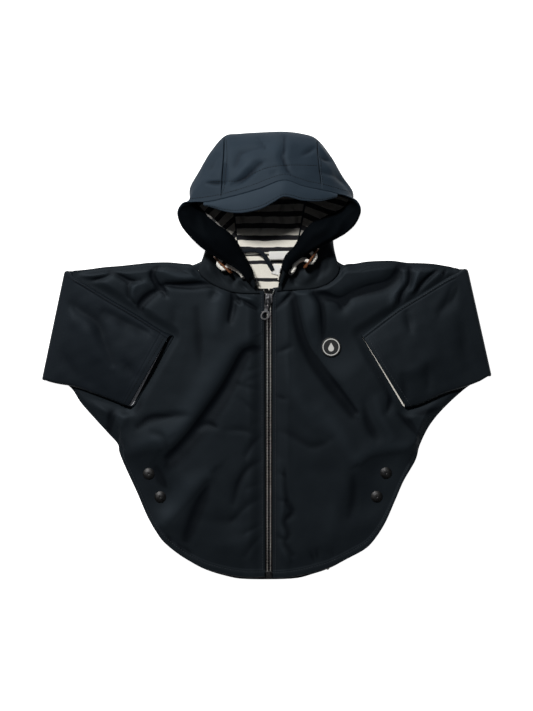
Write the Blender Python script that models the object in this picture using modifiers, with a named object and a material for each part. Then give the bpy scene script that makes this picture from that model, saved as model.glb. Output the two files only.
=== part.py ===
"""Toddler's hooded raincoat, laid flat on its back with both sleeves folded in over the front.

Tables are in millimetres: X across the coat, Y from hem to hood, Z up from the surface it lies on.
"""
import math

import bmesh
import bpy
import numpy as np

MM = 0.001
PART = "kids_raincoat"

# ---------------------------------------------------------------- driving sizes
CLOTH = 1.5            # coated outer cloth
LINING = 1.0           # jersey lining
SEAM = 0.3             # gap left between neighbouring pieces
BACK_TOP = CLOTH       # the back rests on the surface
LINING_UNDER = BACK_TOP + 0.4
FRONT_UNDER = 3.3      # underside of the fronts where they lie flat
FRONT_TOP = FRONT_UNDER + CLOTH
ZIP_RISE = 1.3         # the fronts sit this much higher over the zip tape
ZIP_RISE_FROM = 10.0   # and slope down between these distances from it
ZIP_RISE_TO = 24.0
SIDE_DROP = 1.3        # a front's edge comes down to the back's at a closed seam
SIDE_DROP_WIDTH = 9.0
FOLD_INSET = 5.0       # the sleeve's bend centre, in from the visible fold
FOLD_INNER = 0.2       # bend radius of the sleeve's inner layer, its concave face
FOLD_OUTER = 3.5       # bend radius of its outer layer, its concave face
BEND_Z = FRONT_TOP + 0.2
SNAP_RADIUS = 7.3
BADGE_RADIUS = 12.5
CORD_DIAMETER = 5.0

# ---------------------------------------------------------------- tables
# A front's sections, from the zip to the sleeve fold: top_x, top_y, foot_x, foot_y
LEFT_FRONT = (
    (-3.0, 78.0, -2.0, -275.5),
    (-14.5, 78.5, -24.5, -276.0),
    (-29.5, 78.5, -50.5, -272.5),
    (-45.5, 80.0, -79.5, -264.0),
    (-67.0, 90.0, -105.5, -250.0),
    (-85.5, 104.5, -127.0, -233.0),
    (-93.5, 113.0, -138.0, -218.5),
    (-106.5, 114.5, -149.5, -198.0),
    (-123.0, 116.0, -161.5, -170.0),
    (-145.5, 115.5, -174.0, -143.0),
    (-164.5, 113.5, -185.0, -113.0),
    (-183.0, 111.5, -198.0, -96.0),
    (-202.0, 110.0, -215.5, -78.5),
    (-220.5, 107.5, -235.5, -60.5),
    (-240.8, 105.5, -270.1, -35.0),
)
RIGHT_FRONT = (
    (8.0, 79.0, 8.0, -277.5),
    (23.0, 80.0, 32.0, -275.5),
    (39.5, 80.5, 58.5, -270.0),
    (57.0, 81.5, 80.5, -263.0),
    (76.0, 91.0, 102.5, -252.0),
    (91.0, 104.5, 122.5, -241.0),
    (98.0, 113.0, 134.5, -229.0),
    (111.5, 114.5, 148.0, -208.0),
    (127.0, 117.0, 160.5, -180.0),
    (155.0, 118.0, 171.5, -155.0),
    (175.5, 115.5, 183.5, -130.0),
    (192.0, 115.0, 192.5, -111.0),
    (208.0, 114.0, 205.5, -88.0),
    (226.5, 111.0, 223.0, -65.0),
    (239.8, 108.0, 270.7, -30.0),
)
# A sleeve's rings past the fold, to the cuff: top_x, top_y, foot_x, foot_y, puff of the upper layer
LEFT_SLEEVE = (
    (-252.0, 105.5, -280.5, -31.0, 0.0),
    (-240.0, 97.5, -270.0, -33.0, 1.0),
    (-226.0, 89.5, -259.5, -35.5, 3.0),
    (-195.5, 71.0, -237.5, -39.5, 4.5),
    (-166.5, 54.0, -212.0, -48.5, 5.0),
    (-139.5, 37.0, -188.5, -57.5, 6.0),
    (-121.0, 25.5, -173.0, -64.5, 6.5),
)
RIGHT_SLEEVE = (
    (251.0, 108.0, 281.0, -26.0, 0.0),
    (238.0, 103.0, 266.0, -32.0, 1.0),
    (223.0, 95.5, 250.5, -38.0, 3.0),
    (194.0, 78.0, 223.5, -46.5, 4.5),
    (165.0, 60.5, 206.0, -54.5, 5.5),
    (137.5, 40.0, 190.0, -61.5, 6.5),
    (118.5, 25.5, 174.5, -65.5, 7.0),
)
# Folds of the fronts: from_x, from_y, to_x, to_y, half_width, rise (a trough's rise is negative)
FOLDS = (
    (-14.5, 9.5, -39.5, -5.5, 11.0, -3.0),
    (-39.5, -5.5, -63.0, -73.0, 13.0, -4.0),
    (-63.0, -73.0, -105.5, -115.5, 13.0, -4.0),
    (-105.5, -115.5, -125.5, -142.0, 11.0, -3.0),
    (-52.0, 30.0, -84.0, -60.0, 17.0, 3.5),
    (-26.0, -40.0, -62.0, -112.0, 18.0, 4.0),
    (-73.0, -147.0, -102.0, -184.5, 12.0, -3.5),
    (-102.0, -184.5, -125.5, -212.0, 12.0, -3.0),
    (-52.0, -150.0, -84.0, -214.0, 16.0, 3.0),
    (-43.0, 70.0, -45.5, 19.5, 10.0, -2.5),
    (-120.5, 88.0, -66.0, 84.0, 12.0, -2.5),
    (-160.5, -87.0, -102.0, -72.0, 10.0, -2.0),
    (33.0, 60.5, 39.5, 28.0, 10.0, -2.5),
    (39.5, 28.0, 92.0, -34.5, 14.0, -4.0),
    (92.0, -34.5, 137.0, -107.0, 14.0, -3.5),
    (20.0, 5.0, 66.0, -62.0, 17.0, 4.0),
    (66.0, -62.0, 104.0, -118.0, 16.0, 3.0),
    (63.0, 70.0, 64.5, 12.0, 9.0, -2.0),
    (92.0, 60.5, 145.5, 88.0, 13.0, -3.0),
    (14.5, -95.5, 82.0, -105.5, 11.0, -3.0),
    (119.5, -129.5, 177.0, -115.5, 12.0, -2.5),
    (108.0, -160.5, 108.0, -210.0, 11.0, -2.5),
    (28.0, -127.0, 42.0, -222.0, 10.0, -3.0),
)
PUFF = 4.0             # how far the fronts stand off the back away from their seams
# Flat places on the fronts: x, y, flat_radius
FLATS = (
    (-147.0, -147.5, 24.0),
    (-132.5, -176.5, 24.0),
    (149.0, -146.5, 24.0),
    (137.5, -176.0, 24.0),
    (80.5, 10.5, 30.0),
)
# The hood's sections, from the left of the zip round the crown to the right of it:
# neck x, y, z; base z; turn x, y, z; brow z; edge x, y, z; width of the facing
HOOD = (
    (-9.0, 76.0, 8.1, 9.0, -14.5, 89.5, 11.5, 13.0, -15.0, 83.5, 12.0, 5.0),
    (-25.5, 75.5, 7.2, 8.0, -23.5, 108.5, 14.5, 18.0, -26.0, 98.0, 15.5, 12.0),
    (-43.0, 75.5, 6.8, 8.0, -32.5, 124.5, 17.5, 23.0, -37.0, 109.0, 19.0, 20.0),
    (-62.5, 82.0, 6.8, 9.0, -42.0, 141.0, 19.5, 27.0, -54.0, 118.5, 22.0, 29.0),
    (-80.0, 96.5, 6.8, 10.0, -51.5, 150.0, 20.5, 29.5, -68.5, 127.0, 23.5, 35.0),
    (-84.5, 108.5, 6.0, 8.0, -64.0, 152.0, 17.5, 28.0, -82.5, 136.5, 25.0, 40.0),
    (-80.0, 116.5, 2.4, 2.5, -72.0, 149.0, 13.0, 24.0, -94.0, 146.5, 26.0, 42.0),
    (-72.0, 120.0, 1.8, 0.6, -78.0, 153.5, 11.0, 23.0, -105.5, 161.0, 28.0, 43.0),
    (-63.0, 122.0, 1.8, 0.0, -80.5, 161.5, 11.0, 23.0, -110.0, 177.0, 30.0, 44.0),
    (-55.5, 123.5, 1.8, 0.0, -91.0, 187.0, 15.0, 26.0, -103.0, 188.5, 33.5, 34.0),
    (-49.5, 124.0, 1.8, 0.0, -94.0, 205.5, 18.5, 30.5, -90.0, 189.5, 37.0, 20.0),
    (-44.5, 124.5, 1.8, 0.0, -83.5, 226.0, 20.0, 35.0, -77.0, 189.0, 41.0, 8.0),
    (-39.5, 124.5, 1.8, 0.0, -69.0, 251.0, 20.0, 37.0, -65.5, 190.0, 44.5, 4.0),
    (-34.5, 125.0, 1.8, 0.0, -51.5, 271.0, 18.5, 38.0, -56.0, 192.0, 47.0, 4.0),
    (-23.0, 125.0, 1.8, 0.0, -33.0, 274.0, 18.0, 41.0, -36.0, 196.5, 51.0, 4.0),
    (-10.5, 125.5, 1.8, 0.0, -5.5, 275.5, 18.0, 44.0, -8.0, 204.5, 54.5, 4.0),
    (0.5, 125.5, 1.8, 0.0, 21.5, 276.0, 18.0, 44.0, 21.0, 214.5, 56.0, 4.0),
    (18.0, 125.5, 1.8, 0.0, 44.0, 273.5, 18.0, 42.0, 44.5, 207.5, 53.5, 4.0),
    (37.0, 125.5, 1.8, 0.0, 61.5, 267.0, 18.5, 39.0, 68.0, 203.0, 49.5, 4.0),
    (42.0, 125.0, 1.8, 0.0, 78.5, 246.0, 19.5, 37.0, 79.0, 201.0, 46.0, 4.0),
    (47.0, 124.5, 1.8, 0.0, 92.5, 221.5, 20.0, 34.0, 87.0, 199.0, 43.0, 8.0),
    (52.0, 124.5, 1.8, 0.0, 106.0, 201.0, 19.0, 31.0, 98.0, 197.0, 39.0, 20.0),
    (59.5, 123.5, 1.8, 0.0, 103.5, 185.5, 15.0, 27.0, 111.5, 191.0, 34.0, 34.0),
    (68.0, 122.5, 1.8, 0.0, 90.0, 167.0, 11.5, 24.0, 116.5, 178.5, 30.0, 42.0),
    (77.0, 121.0, 1.8, 0.6, 85.0, 157.0, 11.0, 23.0, 109.5, 162.0, 28.0, 43.0),
    (86.5, 117.5, 2.4, 2.5, 78.5, 152.5, 13.0, 24.0, 96.0, 150.0, 26.0, 42.0),
    (90.5, 109.5, 6.0, 8.0, 70.0, 156.5, 17.5, 28.0, 85.0, 145.0, 25.0, 40.0),
    (87.0, 98.5, 6.8, 10.0, 58.5, 159.0, 20.5, 29.5, 68.5, 137.0, 23.5, 35.0),
    (75.5, 85.5, 6.8, 9.0, 46.5, 146.0, 19.5, 27.0, 54.0, 129.5, 22.0, 29.0),
    (58.0, 78.0, 6.8, 8.0, 37.5, 131.0, 17.5, 23.0, 39.0, 121.0, 19.0, 20.0),
    (37.0, 77.0, 7.2, 8.0, 26.5, 119.5, 14.5, 18.0, 27.5, 110.0, 15.5, 12.0),
    (13.0, 76.5, 8.1, 9.0, 17.5, 92.0, 11.5, 13.0, 16.5, 84.5, 12.0, 5.0),
)
CROWN_LEFT = 13        # rows of HOOD where the crown panel's seams run
CROWN_RIGHT = 18
# The peak's free edge, from its left tip to its right: hood row it is sewn at, x, y, z
PEAK = (
    (11.0, -77.0, 184.5, 42.5),
    (12.0, -65.5, 181.5, 46.0),
    (13.0, -52.0, 177.0, 49.5),
    (14.0, -36.0, 174.5, 53.5),
    (14.5, -20.0, 176.0, 56.0),
    (15.0, -5.0, 180.0, 58.0),
    (15.6, 8.0, 187.0, 59.0),
    (16.1, 22.0, 194.0, 59.5),
    (17.0, 44.5, 189.5, 57.0),
    (18.0, 65.0, 189.0, 52.5),
    (19.0, 78.0, 192.0, 48.5),
    (20.0, 86.5, 194.5, 44.5),
)

# ---------------------------------------------------------------- materials
MATERIALS = {
    "navy_coated_cloth": ((0.017, 0.021, 0.028), 0.55, 0.0),
    "slate_coated_cloth": ((0.038, 0.052, 0.073), 0.55, 0.0),
    "striped_jersey": ((0.55, 0.52, 0.44), 0.95, 0.0),
    "cream_cotton": ((0.66, 0.62, 0.50), 0.95, 0.0),
    "black_tape": ((0.012, 0.014, 0.018), 0.85, 0.0),
    "silver_metal": ((0.62, 0.60, 0.57), 0.32, 1.0),
    "gunmetal": ((0.17, 0.17, 0.17), 0.38, 1.0),
    "black_rubber": ((0.02, 0.022, 0.025), 0.6, 0.0),
    "brown_wood": ((0.19, 0.075, 0.03), 0.6, 0.0),
    "plain_label": ((0.75, 0.74, 0.71), 0.9, 0.0),
}


def start_clean():
    for item in list(bpy.data.objects):
        bpy.data.objects.remove(item, do_unlink=True)
    for group in list(bpy.data.collections):
        bpy.data.collections.remove(group)
    group = bpy.data.collections.new(PART)
    bpy.context.scene.collection.children.link(group)
    return group


def make_material(name):
    colour, roughness, metallic = MATERIALS[name]
    material = bpy.data.materials.new(name)
    material.use_nodes = True
    shader = material.node_tree.nodes["Principled BSDF"]
    shader.inputs["Base Color"].default_value = (*colour, 1.0)
    shader.inputs["Roughness"].default_value = roughness
    shader.inputs["Metallic"].default_value = metallic
    return material


GROUP = start_clean()
MADE = {name: make_material(name) for name in MATERIALS}


def add_mesh(name, points, faces, material, smooth=True):
    mesh = bpy.data.meshes.new(name)
    mesh.from_pydata([tuple(float(c) * MM for c in p) for p in points], [], faces)
    check = bmesh.new()
    check.from_mesh(mesh)
    bmesh.ops.recalc_face_normals(check, faces=check.faces)
    check.to_mesh(mesh)
    check.free()
    for face in mesh.polygons:
        face.use_smooth = smooth
    item = bpy.data.objects.new(name, mesh)
    item.data.materials.append(MADE[material])
    GROUP.objects.link(item)
    return item


def spline(rows, at):
    """Values of a table's columns at fractional row numbers, by a smooth curve through its rows."""
    rows = np.asarray(rows, float)
    at = np.clip(np.asarray(at, float), 0.0, len(rows) - 1.0)
    low = np.clip(np.floor(at).astype(int), 0, len(rows) - 2)
    t = (at - low)[:, None]
    before = np.where(low[:, None] > 0, rows[np.maximum(low - 1, 0)], 2 * rows[low] - rows[low + 1])
    after_row = np.minimum(low + 2, len(rows) - 1)
    after = np.where(
        low[:, None] + 2 < len(rows), rows[after_row], 2 * rows[low + 1] - rows[low]
    )
    a, b = rows[low], rows[low + 1]
    return 0.5 * (
        2 * a
        + (b - before) * t
        + (2 * before - 5 * a + 4 * b - after) * t**2
        + (3 * a - before - 3 * b + after) * t**3
    )


def ease(value):
    value = np.clip(value, 0.0, 1.0)
    return value * value * (3.0 - 2.0 * value)


def along(points, count):
    """Points spaced evenly by length on a smooth curve through a few."""
    fine = spline(points, np.linspace(0.0, len(points) - 1.0, 12 * len(points)))
    run = np.concatenate([[0.0], np.cumsum(np.linalg.norm(np.diff(fine, axis=0), axis=1))])
    at = np.linspace(0.0, run[-1], count)
    return np.stack([np.interp(at, run, fine[:, k]) for k in range(fine.shape[1])], axis=1)


def grid_faces(rows, columns, around, first=0):
    faces = []
    for i in range(rows - 1):
        for j in range(columns if around else columns - 1):
            k = (j + 1) % columns
            faces.append(
                (
                    first + i * columns + j,
                    first + i * columns + k,
                    first + (i + 1) * columns + k,
                    first + (i + 1) * columns + j,
                )
            )
    return faces


def wall(name, outer, inner, material, around=False):
    """A closed wall between two like grids of points; around closes the grids' columns."""
    outer, inner = np.asarray(outer, float), np.asarray(inner, float)
    rows, columns = outer.shape[:2]
    size = rows * columns
    points = np.concatenate([outer.reshape(-1, 3), inner.reshape(-1, 3)])
    faces = grid_faces(rows, columns, around)
    faces += [tuple(reversed(f)) for f in grid_faces(rows, columns, around, size)]
    rims = []
    for i in (0, rows - 1):
        ring = [i * columns + j for j in range(columns)]
        rims.append(ring + ring[:1] if around else ring)
    if not around:
        for j in (0, columns - 1):
            rims.append([i * columns + j for i in range(rows)])
    for rim in rims:
        for a, b in zip(rim, rim[1:]):
            faces.append((a, b, b + size, a + size))
    return add_mesh(name, points, faces, material)


# ---------------------------------------------------------------- body
COVER_CLEAR = 9.0      # a front lies flat this far outside the sleeve on it
NECK_FLAT = 13.0       # and this far from its neck edge, side seams and zip
SIDE_FLAT = 6.0
ZIP_FLAT = 9.0
RISE_WIDTH = 22.0      # from there it rises over this distance
SIDE_RISE_WIDTH = 30.0
HEM_RISE_WIDTH = 45.0
HEM_SHARE = 0.35       # the open hem keeps this share of the rise
FLAT_RISE_WIDTH = 20.0


def fold_height(x, y, half_width, rise, ends):
    """Height a fold adds at x, y: soft across its line and fading to nothing at its ends."""
    (ax, ay), (bx, by) = ends
    length = math.hypot(bx - ax, by - ay)
    ux, uy = (bx - ax) / length, (by - ay) / length
    run = (x - ax) * ux + (y - ay) * uy
    off = (x - ax) * -uy + (y - ay) * ux
    beyond = np.maximum(np.maximum(-run, run - length), 0.0)
    return rise * np.exp(-(off / half_width) ** 2 - (beyond / half_width) ** 2)


def sleeve_cover(x, y):
    """0 under a folded sleeve, rising to 1 a little way outside it."""
    clear = np.ones_like(x)
    for table, side in ((LEFT_SLEEVE, -1.0), (RIGHT_SLEEVE, 1.0)):
        fold, cuff = table[0], table[-1]
        corners = ((fold[0], fold[1]), (cuff[0], cuff[1]), (cuff[2], cuff[3]), (fold[2], fold[3]))
        outside = np.full_like(x, -1e9)
        for (ax, ay), (bx, by) in zip(corners, corners[1:]):
            length = math.hypot(bx - ax, by - ay)
            off = side * ((x - ax) * (by - ay) - (y - ay) * (bx - ax)) / length
            outside = np.maximum(outside, off)
        clear = np.minimum(clear, ease((outside - COVER_CLEAR) / RISE_WIDTH))
    return clear


def front_lift(x, y, from_zip, from_top, from_foot, hem):
    """How far a front stands off where it would lie flat."""
    shape = PUFF * np.ones_like(x)
    for ax, ay, bx, by, half_width, rise in FOLDS:
        shape = shape + fold_height(x, y, half_width, rise, ((ax, ay), (bx, by)))
    shape = np.maximum(shape, 0.0)
    hold = ease((from_zip - ZIP_FLAT) / RISE_WIDTH) * ease((from_top - NECK_FLAT) / RISE_WIDTH)
    open_foot = HEM_SHARE + (1.0 - HEM_SHARE) * ease(from_foot / HEM_RISE_WIDTH)
    hold = hold * np.where(hem, open_foot, ease((from_foot - SIDE_FLAT) / SIDE_RISE_WIDTH))
    for px, py, radius in FLATS:
        hold = hold * ease((np.hypot(x - px, y - py) - radius) / FLAT_RISE_WIDTH)
    return shape * hold * sleeve_cover(x, y)


def body_sections(table, sections, steps):
    """Plan points of a panel: a row of points down each section."""
    marks = spline(table, np.linspace(0.0, len(table) - 1.0, sections))
    share = np.linspace(0.0, 1.0, steps)
    tops, feet = marks[:, None, :2], marks[:, None, 2:4]
    return tops + (feet - tops) * share[None, :, None]


FRONT_SECTIONS = 20
FRONT_STEPS = 14
BACK_SECTIONS = 33
BACK_STEPS = 5
LINING_SECTIONS = 25
END_ROWS = 1.2         # the drop to the back fades out this many rows before the sleeve fold
HEM_ROWS = 9.5         # rows of a front's table whose foot is on the open hem
SHOULDER_ROWS = 6.0    # rows of a front's table whose top is on the neck seam


def front_grid(table, sections, steps):
    """Upper points of a front."""
    plan = body_sections(table, sections, steps)
    row = np.linspace(0.0, len(table) - 1.0, sections)[:, None] * np.ones((1, steps))
    x, y = plan[..., 0], plan[..., 1]
    from_top = np.linalg.norm(plan - plan[:, :1], axis=2)
    from_foot = np.linalg.norm(plan - plan[:, -1:], axis=2)
    zip_x = plan[:1, :, 0]
    from_zip = np.abs(x - zip_x)
    z = FRONT_TOP + front_lift(x, y, from_zip, from_top, from_foot, row < HEM_ROWS)
    z = z + ZIP_RISE * (1.0 - ease((from_zip - ZIP_RISE_FROM) / (ZIP_RISE_TO - ZIP_RISE_FROM)))
    closed_top = ease(row - SHOULDER_ROWS)
    closed_foot = ease(row - HEM_ROWS)
    ends = ease((len(table) - 1.0 - row) / END_ROWS)
    z = z - SIDE_DROP * closed_top * ends * (1.0 - ease(from_top / SIDE_DROP_WIDTH))
    z = z - SIDE_DROP * closed_foot * ends * (1.0 - ease(from_foot / SIDE_DROP_WIDTH))
    return np.dstack([plan, z])


def make_front(name, table):
    top = front_grid(table, FRONT_SECTIONS, FRONT_STEPS)
    under = top - np.array([0.0, 0.0, CLOTH])
    return wall(name, top, under, "navy_coated_cloth")


BACK_NECK = (
    # x, y of the back's neck edge, from one shoulder to the other
    (-93.5, 112.5), (-79.5, 117.8), (-62.0, 123.2), (-42.0, 125.5), (-24.0, 126.4), (-8.0, 126.7),
    (8.0, 126.7), (24.0, 126.7), (44.0, 126.0), (66.0, 123.8), (85.0, 118.8), (98.0, 112.5),
)
NECK_ROWS = (7.9, 16.1)  # rows of the lining's sections that end at the neck seam
BACK_HEM_DROP = 3.0    # the back's hem shows below the fronts at the middle
BACK_HEM_HALF = 110.0  # as far out as this
LINING_INSET = 11.0    # the lining stops this short of the shoulders, sides and hem
LINING_NECK = 1.9
LINING_ENDS = 2        # rows of the table left bare at each sleeve fold


def back_table():
    """The back's sections, from the left sleeve fold to the right one."""
    left = [list(row) for row in reversed(LEFT_FRONT)][:-1]
    right = [list(row) for row in RIGHT_FRONT][1:]
    half = len(BACK_NECK) // 2
    for row, place in zip(left[-half:] + right[:half], BACK_NECK):
        row[0:2] = place
    for row in left + right:
        row[3] -= BACK_HEM_DROP * max(0.0, 1.0 - (abs(row[2]) / BACK_HEM_HALF) ** 2)
    return left + right


def make_back():
    table = back_table()
    plan = body_sections(table, BACK_SECTIONS, BACK_STEPS)
    flat = np.zeros(plan.shape[:2])
    under = np.dstack([plan, flat])
    top = np.dstack([plan, flat + BACK_TOP])
    wall("back", top, under, "navy_coated_cloth")


def make_body_lining():
    table = back_table()[LINING_ENDS:-LINING_ENDS]
    at = np.linspace(0.0, len(table) - 1.0, LINING_SECTIONS)
    marks = spline(table, at)
    tops, feet = marks[:, None, :2], marks[:, None, 2:4]
    length = np.linalg.norm(feet - tops, axis=2, keepdims=True)
    start = np.full_like(length, LINING_INSET)
    start[(at > NECK_ROWS[0]) & (at < NECK_ROWS[1])] = LINING_NECK
    finish = length - LINING_INSET
    share = np.linspace(0.0, 1.0, BACK_STEPS)[None, :, None]
    plan = tops + (feet - tops) * (start + (finish - start) * share) / length
    flat = np.zeros(plan.shape[:2])
    under = np.dstack([plan, flat + LINING_UNDER])
    top = np.dstack([plan, flat + LINING_UNDER + LINING])
    wall("body_lining", top, under, "striped_jersey")


# ---------------------------------------------------------------- sleeves
RING = (
    # share across the lower layer, then back across the upper one: share, layer
    (0.0, "edge"), (0.03, "lower"), (0.25, "lower"), (0.5, "lower"), (0.75, "lower"),
    (0.97, "lower"), (1.0, "edge"), (0.96, "upper"), (0.8, "upper"), (0.6, "upper"),
    (0.4, "upper"), (0.2, "upper"), (0.04, "upper"),
)
BEND_STEPS = (0.0, 45.0, 90.0, 135.0, 180.0)
BEND_LEAD = 0.9        # the sleeve's first ring, in from the bend
CUFF_RINGS = 7         # rings from the fold to the cuff
LINED_RINGS = 3        # of these the cuff's lining has the last few
PUFF_POWER = 0.8       # a higher one gathers the puff nearer the sleeve's middle
LOWER_REACH = 3.0      # the cuff's lower layer shows past the upper one
LINING_REACH = 2.0


def sleeve_frames(table, side):
    """Bend-centre lines and turn angles of a sleeve's rings, from the body round the fold to the cuff."""
    rows = np.asarray(table, float)
    fold_top = rows[0, :2] - np.array([side * FOLD_INSET, 0.0])
    fold_foot = rows[0, 2:4] - np.array([side * FOLD_INSET, 0.0])
    inward = np.array([-side * (FOLD_INSET + BEND_LEAD), 0.0])
    frames = [(fold_top + inward, fold_foot + inward, 0.0, 0.0)]
    for degrees in BEND_STEPS:
        frames.append((fold_top, fold_foot, degrees, 0.0))
    fine = spline(rows[1:], np.linspace(0.0, len(rows) - 2.0, CUFF_RINGS))
    for row in fine:
        frames.append((row[:2], row[2:4], 180.0, row[4]))
    return frames


def sleeve_ring(frame, side, inset, cuff_reach):
    """One ring of a sleeve, its faces moved in by inset."""
    top, foot, degrees, puff = frame
    turn = math.radians(degrees)
    out = np.array([side, 0.0]) * math.sin(turn)
    low, high = FOLD_INNER + inset, FOLD_OUTER + CLOTH - inset
    length = np.linalg.norm(foot - top)
    ring = []
    for share, layer in RING:
        share_in = inset / length + share * (1.0 - 2.0 * inset / length)
        bump = math.sin(math.pi * share_in) ** PUFF_POWER if 0.0 < share_in < 1.0 else 0.0
        if layer == "lower":
            radius, reach = low, cuff_reach
        elif layer == "upper":
            radius, reach = high + puff * bump, 0.0
        else:
            radius, reach = (low + high) / 2.0, cuff_reach / 2.0
        plan = top + (foot - top) * share_in + out * radius + np.array([-side * reach, 0.0])
        ring.append((plan[0], plan[1], BEND_Z - radius * math.cos(turn)))
    return ring


def make_sleeve(name, table, side):
    frames = sleeve_frames(table, side)
    outer, inner = [], []
    for number, frame in enumerate(frames):
        reach = LOWER_REACH if number == len(frames) - 1 else 0.0
        outer.append(sleeve_ring(frame, side, 0.0, reach))
        inner.append(sleeve_ring(frame, side, CLOTH, reach))
    wall("sleeve_" + name, outer, inner, "navy_coated_cloth", around=True)
    outer, inner = [], []
    for number, frame in enumerate(frames[-LINED_RINGS:]):
        reach = LINING_REACH if number == LINED_RINGS - 1 else 0.0
        outer.append(sleeve_ring(frame, side, CLOTH + SEAM, reach))
        inner.append(sleeve_ring(frame, side, CLOTH + SEAM + LINING, reach))
    return outer, inner


# ---------------------------------------------------------------- hood
HOOD_LINING_GAP = 2.0  # the lining lies loose in the hood
SIDE_ROW = 6.0         # the row at each side of the neck where the lining hangs looser
SIDE_SLACK = 2.6
SIDE_SPREAD = 1.5
SIDE_INSET = 34.0      # there it is caught this far from the neck seam, out of sight
NECK_INSET = 10.0      # elsewhere the lining starts this far in
BACK_INSET = 1.0       # and at the back of the neck this far
BACK_NECK_ROWS = (7.0, 25.0)
EDGE_SPLIT = 4.0 * SEAM  # between the lining and the facing
SQUEEZE = 0.02         # least step between a section's points, in shares of it
FACING_FROM = 6        # the facing has the shares from here to the edge
PANEL_ENDS = 0.03      # the crown panel stops this many rows short of the side panels
LINING_ENDS_IN = 0.06
CROWN_SECTIONS = 6
BASE_SHARE = 0.62      # the hood touches the surface this far from the neck to its turn
BROW_SHARE = 0.32      # and stands highest this far from its turn to its edge
FACING_LEAST = 32.0    # the facing stops short of the hood's tight top corners
SPOKE_SHARES = (0.0, 0.35, 0.7, 1.0, 1.3, 1.55, 1.8, 2.0, 2.25, 2.5, 2.75, 3.0, 3.35, 3.7, 4.0)


def hood_points(rows_at, shares):
    """Points of the hood's outer face: a row of them down each section, at given shares of it."""
    rows = spline(HOOD, rows_at)
    shares = np.broadcast_to(np.asarray(shares, float), (len(rows), np.shape(shares)[-1]))
    grid = []
    for row, share in zip(rows, shares):
        neck, turn, edge = row[0:3], row[4:7], row[8:11]
        base = neck + (turn - neck) * BASE_SHARE
        base[2] = row[3]
        brow = turn + (edge - turn) * BROW_SHARE
        brow[2] = row[7]
        grid.append(spline([neck, base, turn, brow, edge], share))
    grid = np.array(grid)
    grid[..., 2] = np.maximum(grid[..., 2], 0.0)
    return grid


def hood_normals(rows_at, shares):
    """Unit normals of the hood's outer face, pointing out of the hood."""
    rows_at = np.asarray(rows_at, float)
    shares = np.broadcast_to(np.asarray(shares, float), (len(rows_at), np.shape(shares)[-1]))
    step = 0.12
    last = len(HOOD) - 1.0
    across = hood_points(np.minimum(rows_at + step, last), shares)
    across = across - hood_points(np.maximum(rows_at - step, 0.0), shares)
    down = hood_points(rows_at, np.minimum(shares + step, 4.0))
    down = down - hood_points(rows_at, np.maximum(shares - step, 0.0))
    n = np.cross(down, across)
    return n / np.maximum(np.linalg.norm(n, axis=2, keepdims=True), 1e-9)


def share_limits(rows_at, from_neck, from_edge):
    """Shares of each section at two distances, by length, from its ends."""
    fine = np.linspace(0.0, 4.0, 81)
    limits = []
    for line, first, last in zip(hood_points(rows_at, fine), from_neck, from_edge):
        run = np.concatenate([[0.0], np.cumsum(np.linalg.norm(np.diff(line, axis=0), axis=1))])
        marks = [min(first, 0.5 * run[-1]), run[-1] - min(last, 0.35 * run[-1])]
        limits.append(np.interp(marks, run, fine))
    return np.array(limits)


def shares_between(shares, first, last):
    """The given shares for each section, squeezed in between its two limits."""
    order = np.arange(len(shares)) * SQUEEZE
    low = first[:, None] + order
    high = last[:, None] - order[::-1]
    return np.minimum(np.maximum(np.array(shares), low), high)


def make_hood():
    last = len(HOOD) - 1.0
    panels = (
        ("left", np.linspace(0.0, CROWN_LEFT, CROWN_LEFT + 1)),
        ("center", np.linspace(CROWN_LEFT + PANEL_ENDS, CROWN_RIGHT - PANEL_ENDS, CROWN_SECTIONS)),
        ("right", np.linspace(CROWN_RIGHT, last, int(last) - CROWN_RIGHT + 1)),
    )
    depth = CLOTH + HOOD_LINING_GAP
    for name, at in panels:
        outer = hood_points(at, SPOKE_SHARES)
        n = hood_normals(at, SPOKE_SHARES)
        inner = outer - n * CLOTH
        inner[..., 2] = np.maximum(inner[..., 2], SEAM)
        wall("hood_" + name, outer, inner, "slate_coated_cloth")
        at = np.clip(at, at[0] + LINING_ENDS_IN, at[-1] - LINING_ENDS_IN)
        bands = spline(HOOD, at)[:, 11]
        back_neck = (at > BACK_NECK_ROWS[0]) & (at < BACK_NECK_ROWS[1])
        near_sides = np.minimum(np.abs(at - SIDE_ROW), np.abs(at - last + SIDE_ROW))
        sides = np.exp(-((near_sides / SIDE_SPREAD) ** 2))
        from_neck = np.where(back_neck, BACK_INSET, NECK_INSET)
        from_neck = np.minimum(from_neck + SIDE_INSET * sides, SIDE_INSET)
        limits = share_limits(at, from_neck, bands + EDGE_SPLIT)
        lined = shares_between(SPOKE_SHARES, limits[:, 0], limits[:, 1])
        skin, n = hood_points(at, lined), hood_normals(at, lined)
        loose = n * (depth + SIDE_SLACK * sides)[:, None, None]
        over, under = skin - loose, skin - loose - n * LINING
        resting = np.where(back_neck, CLOTH + SEAM, LINING_UNDER + LINING + SEAM)[:, None]
        over[..., 2] = np.maximum(over[..., 2], resting)
        under[..., 2] = np.maximum(under[..., 2], resting + LINING)
        wall("hood_lining_" + name, over, under, "striped_jersey")
        if name == "center":
            continue
        kept = bands > FACING_LEAST
        at, bands, sides = at[kept], bands[kept], sides[kept]
        starts = share_limits(at, np.full(len(at), NECK_INSET), bands)[:, 1]
        faced = shares_between(SPOKE_SHARES[FACING_FROM:], starts, np.full(len(at), 4.0))
        skin, n = hood_points(at, faced), hood_normals(at, faced)
        over = skin - n * (depth + SIDE_SLACK * sides)[:, None, None]
        wall("hood_facing_" + name, over, over - n * LINING, "slate_coated_cloth")


# ---------------------------------------------------------------- peak
PEAK_WALL = 1.6
PEAK_GAP = 0.9
PEAK_BOW = 0.8         # it bows up between its seam and its free edge


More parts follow.
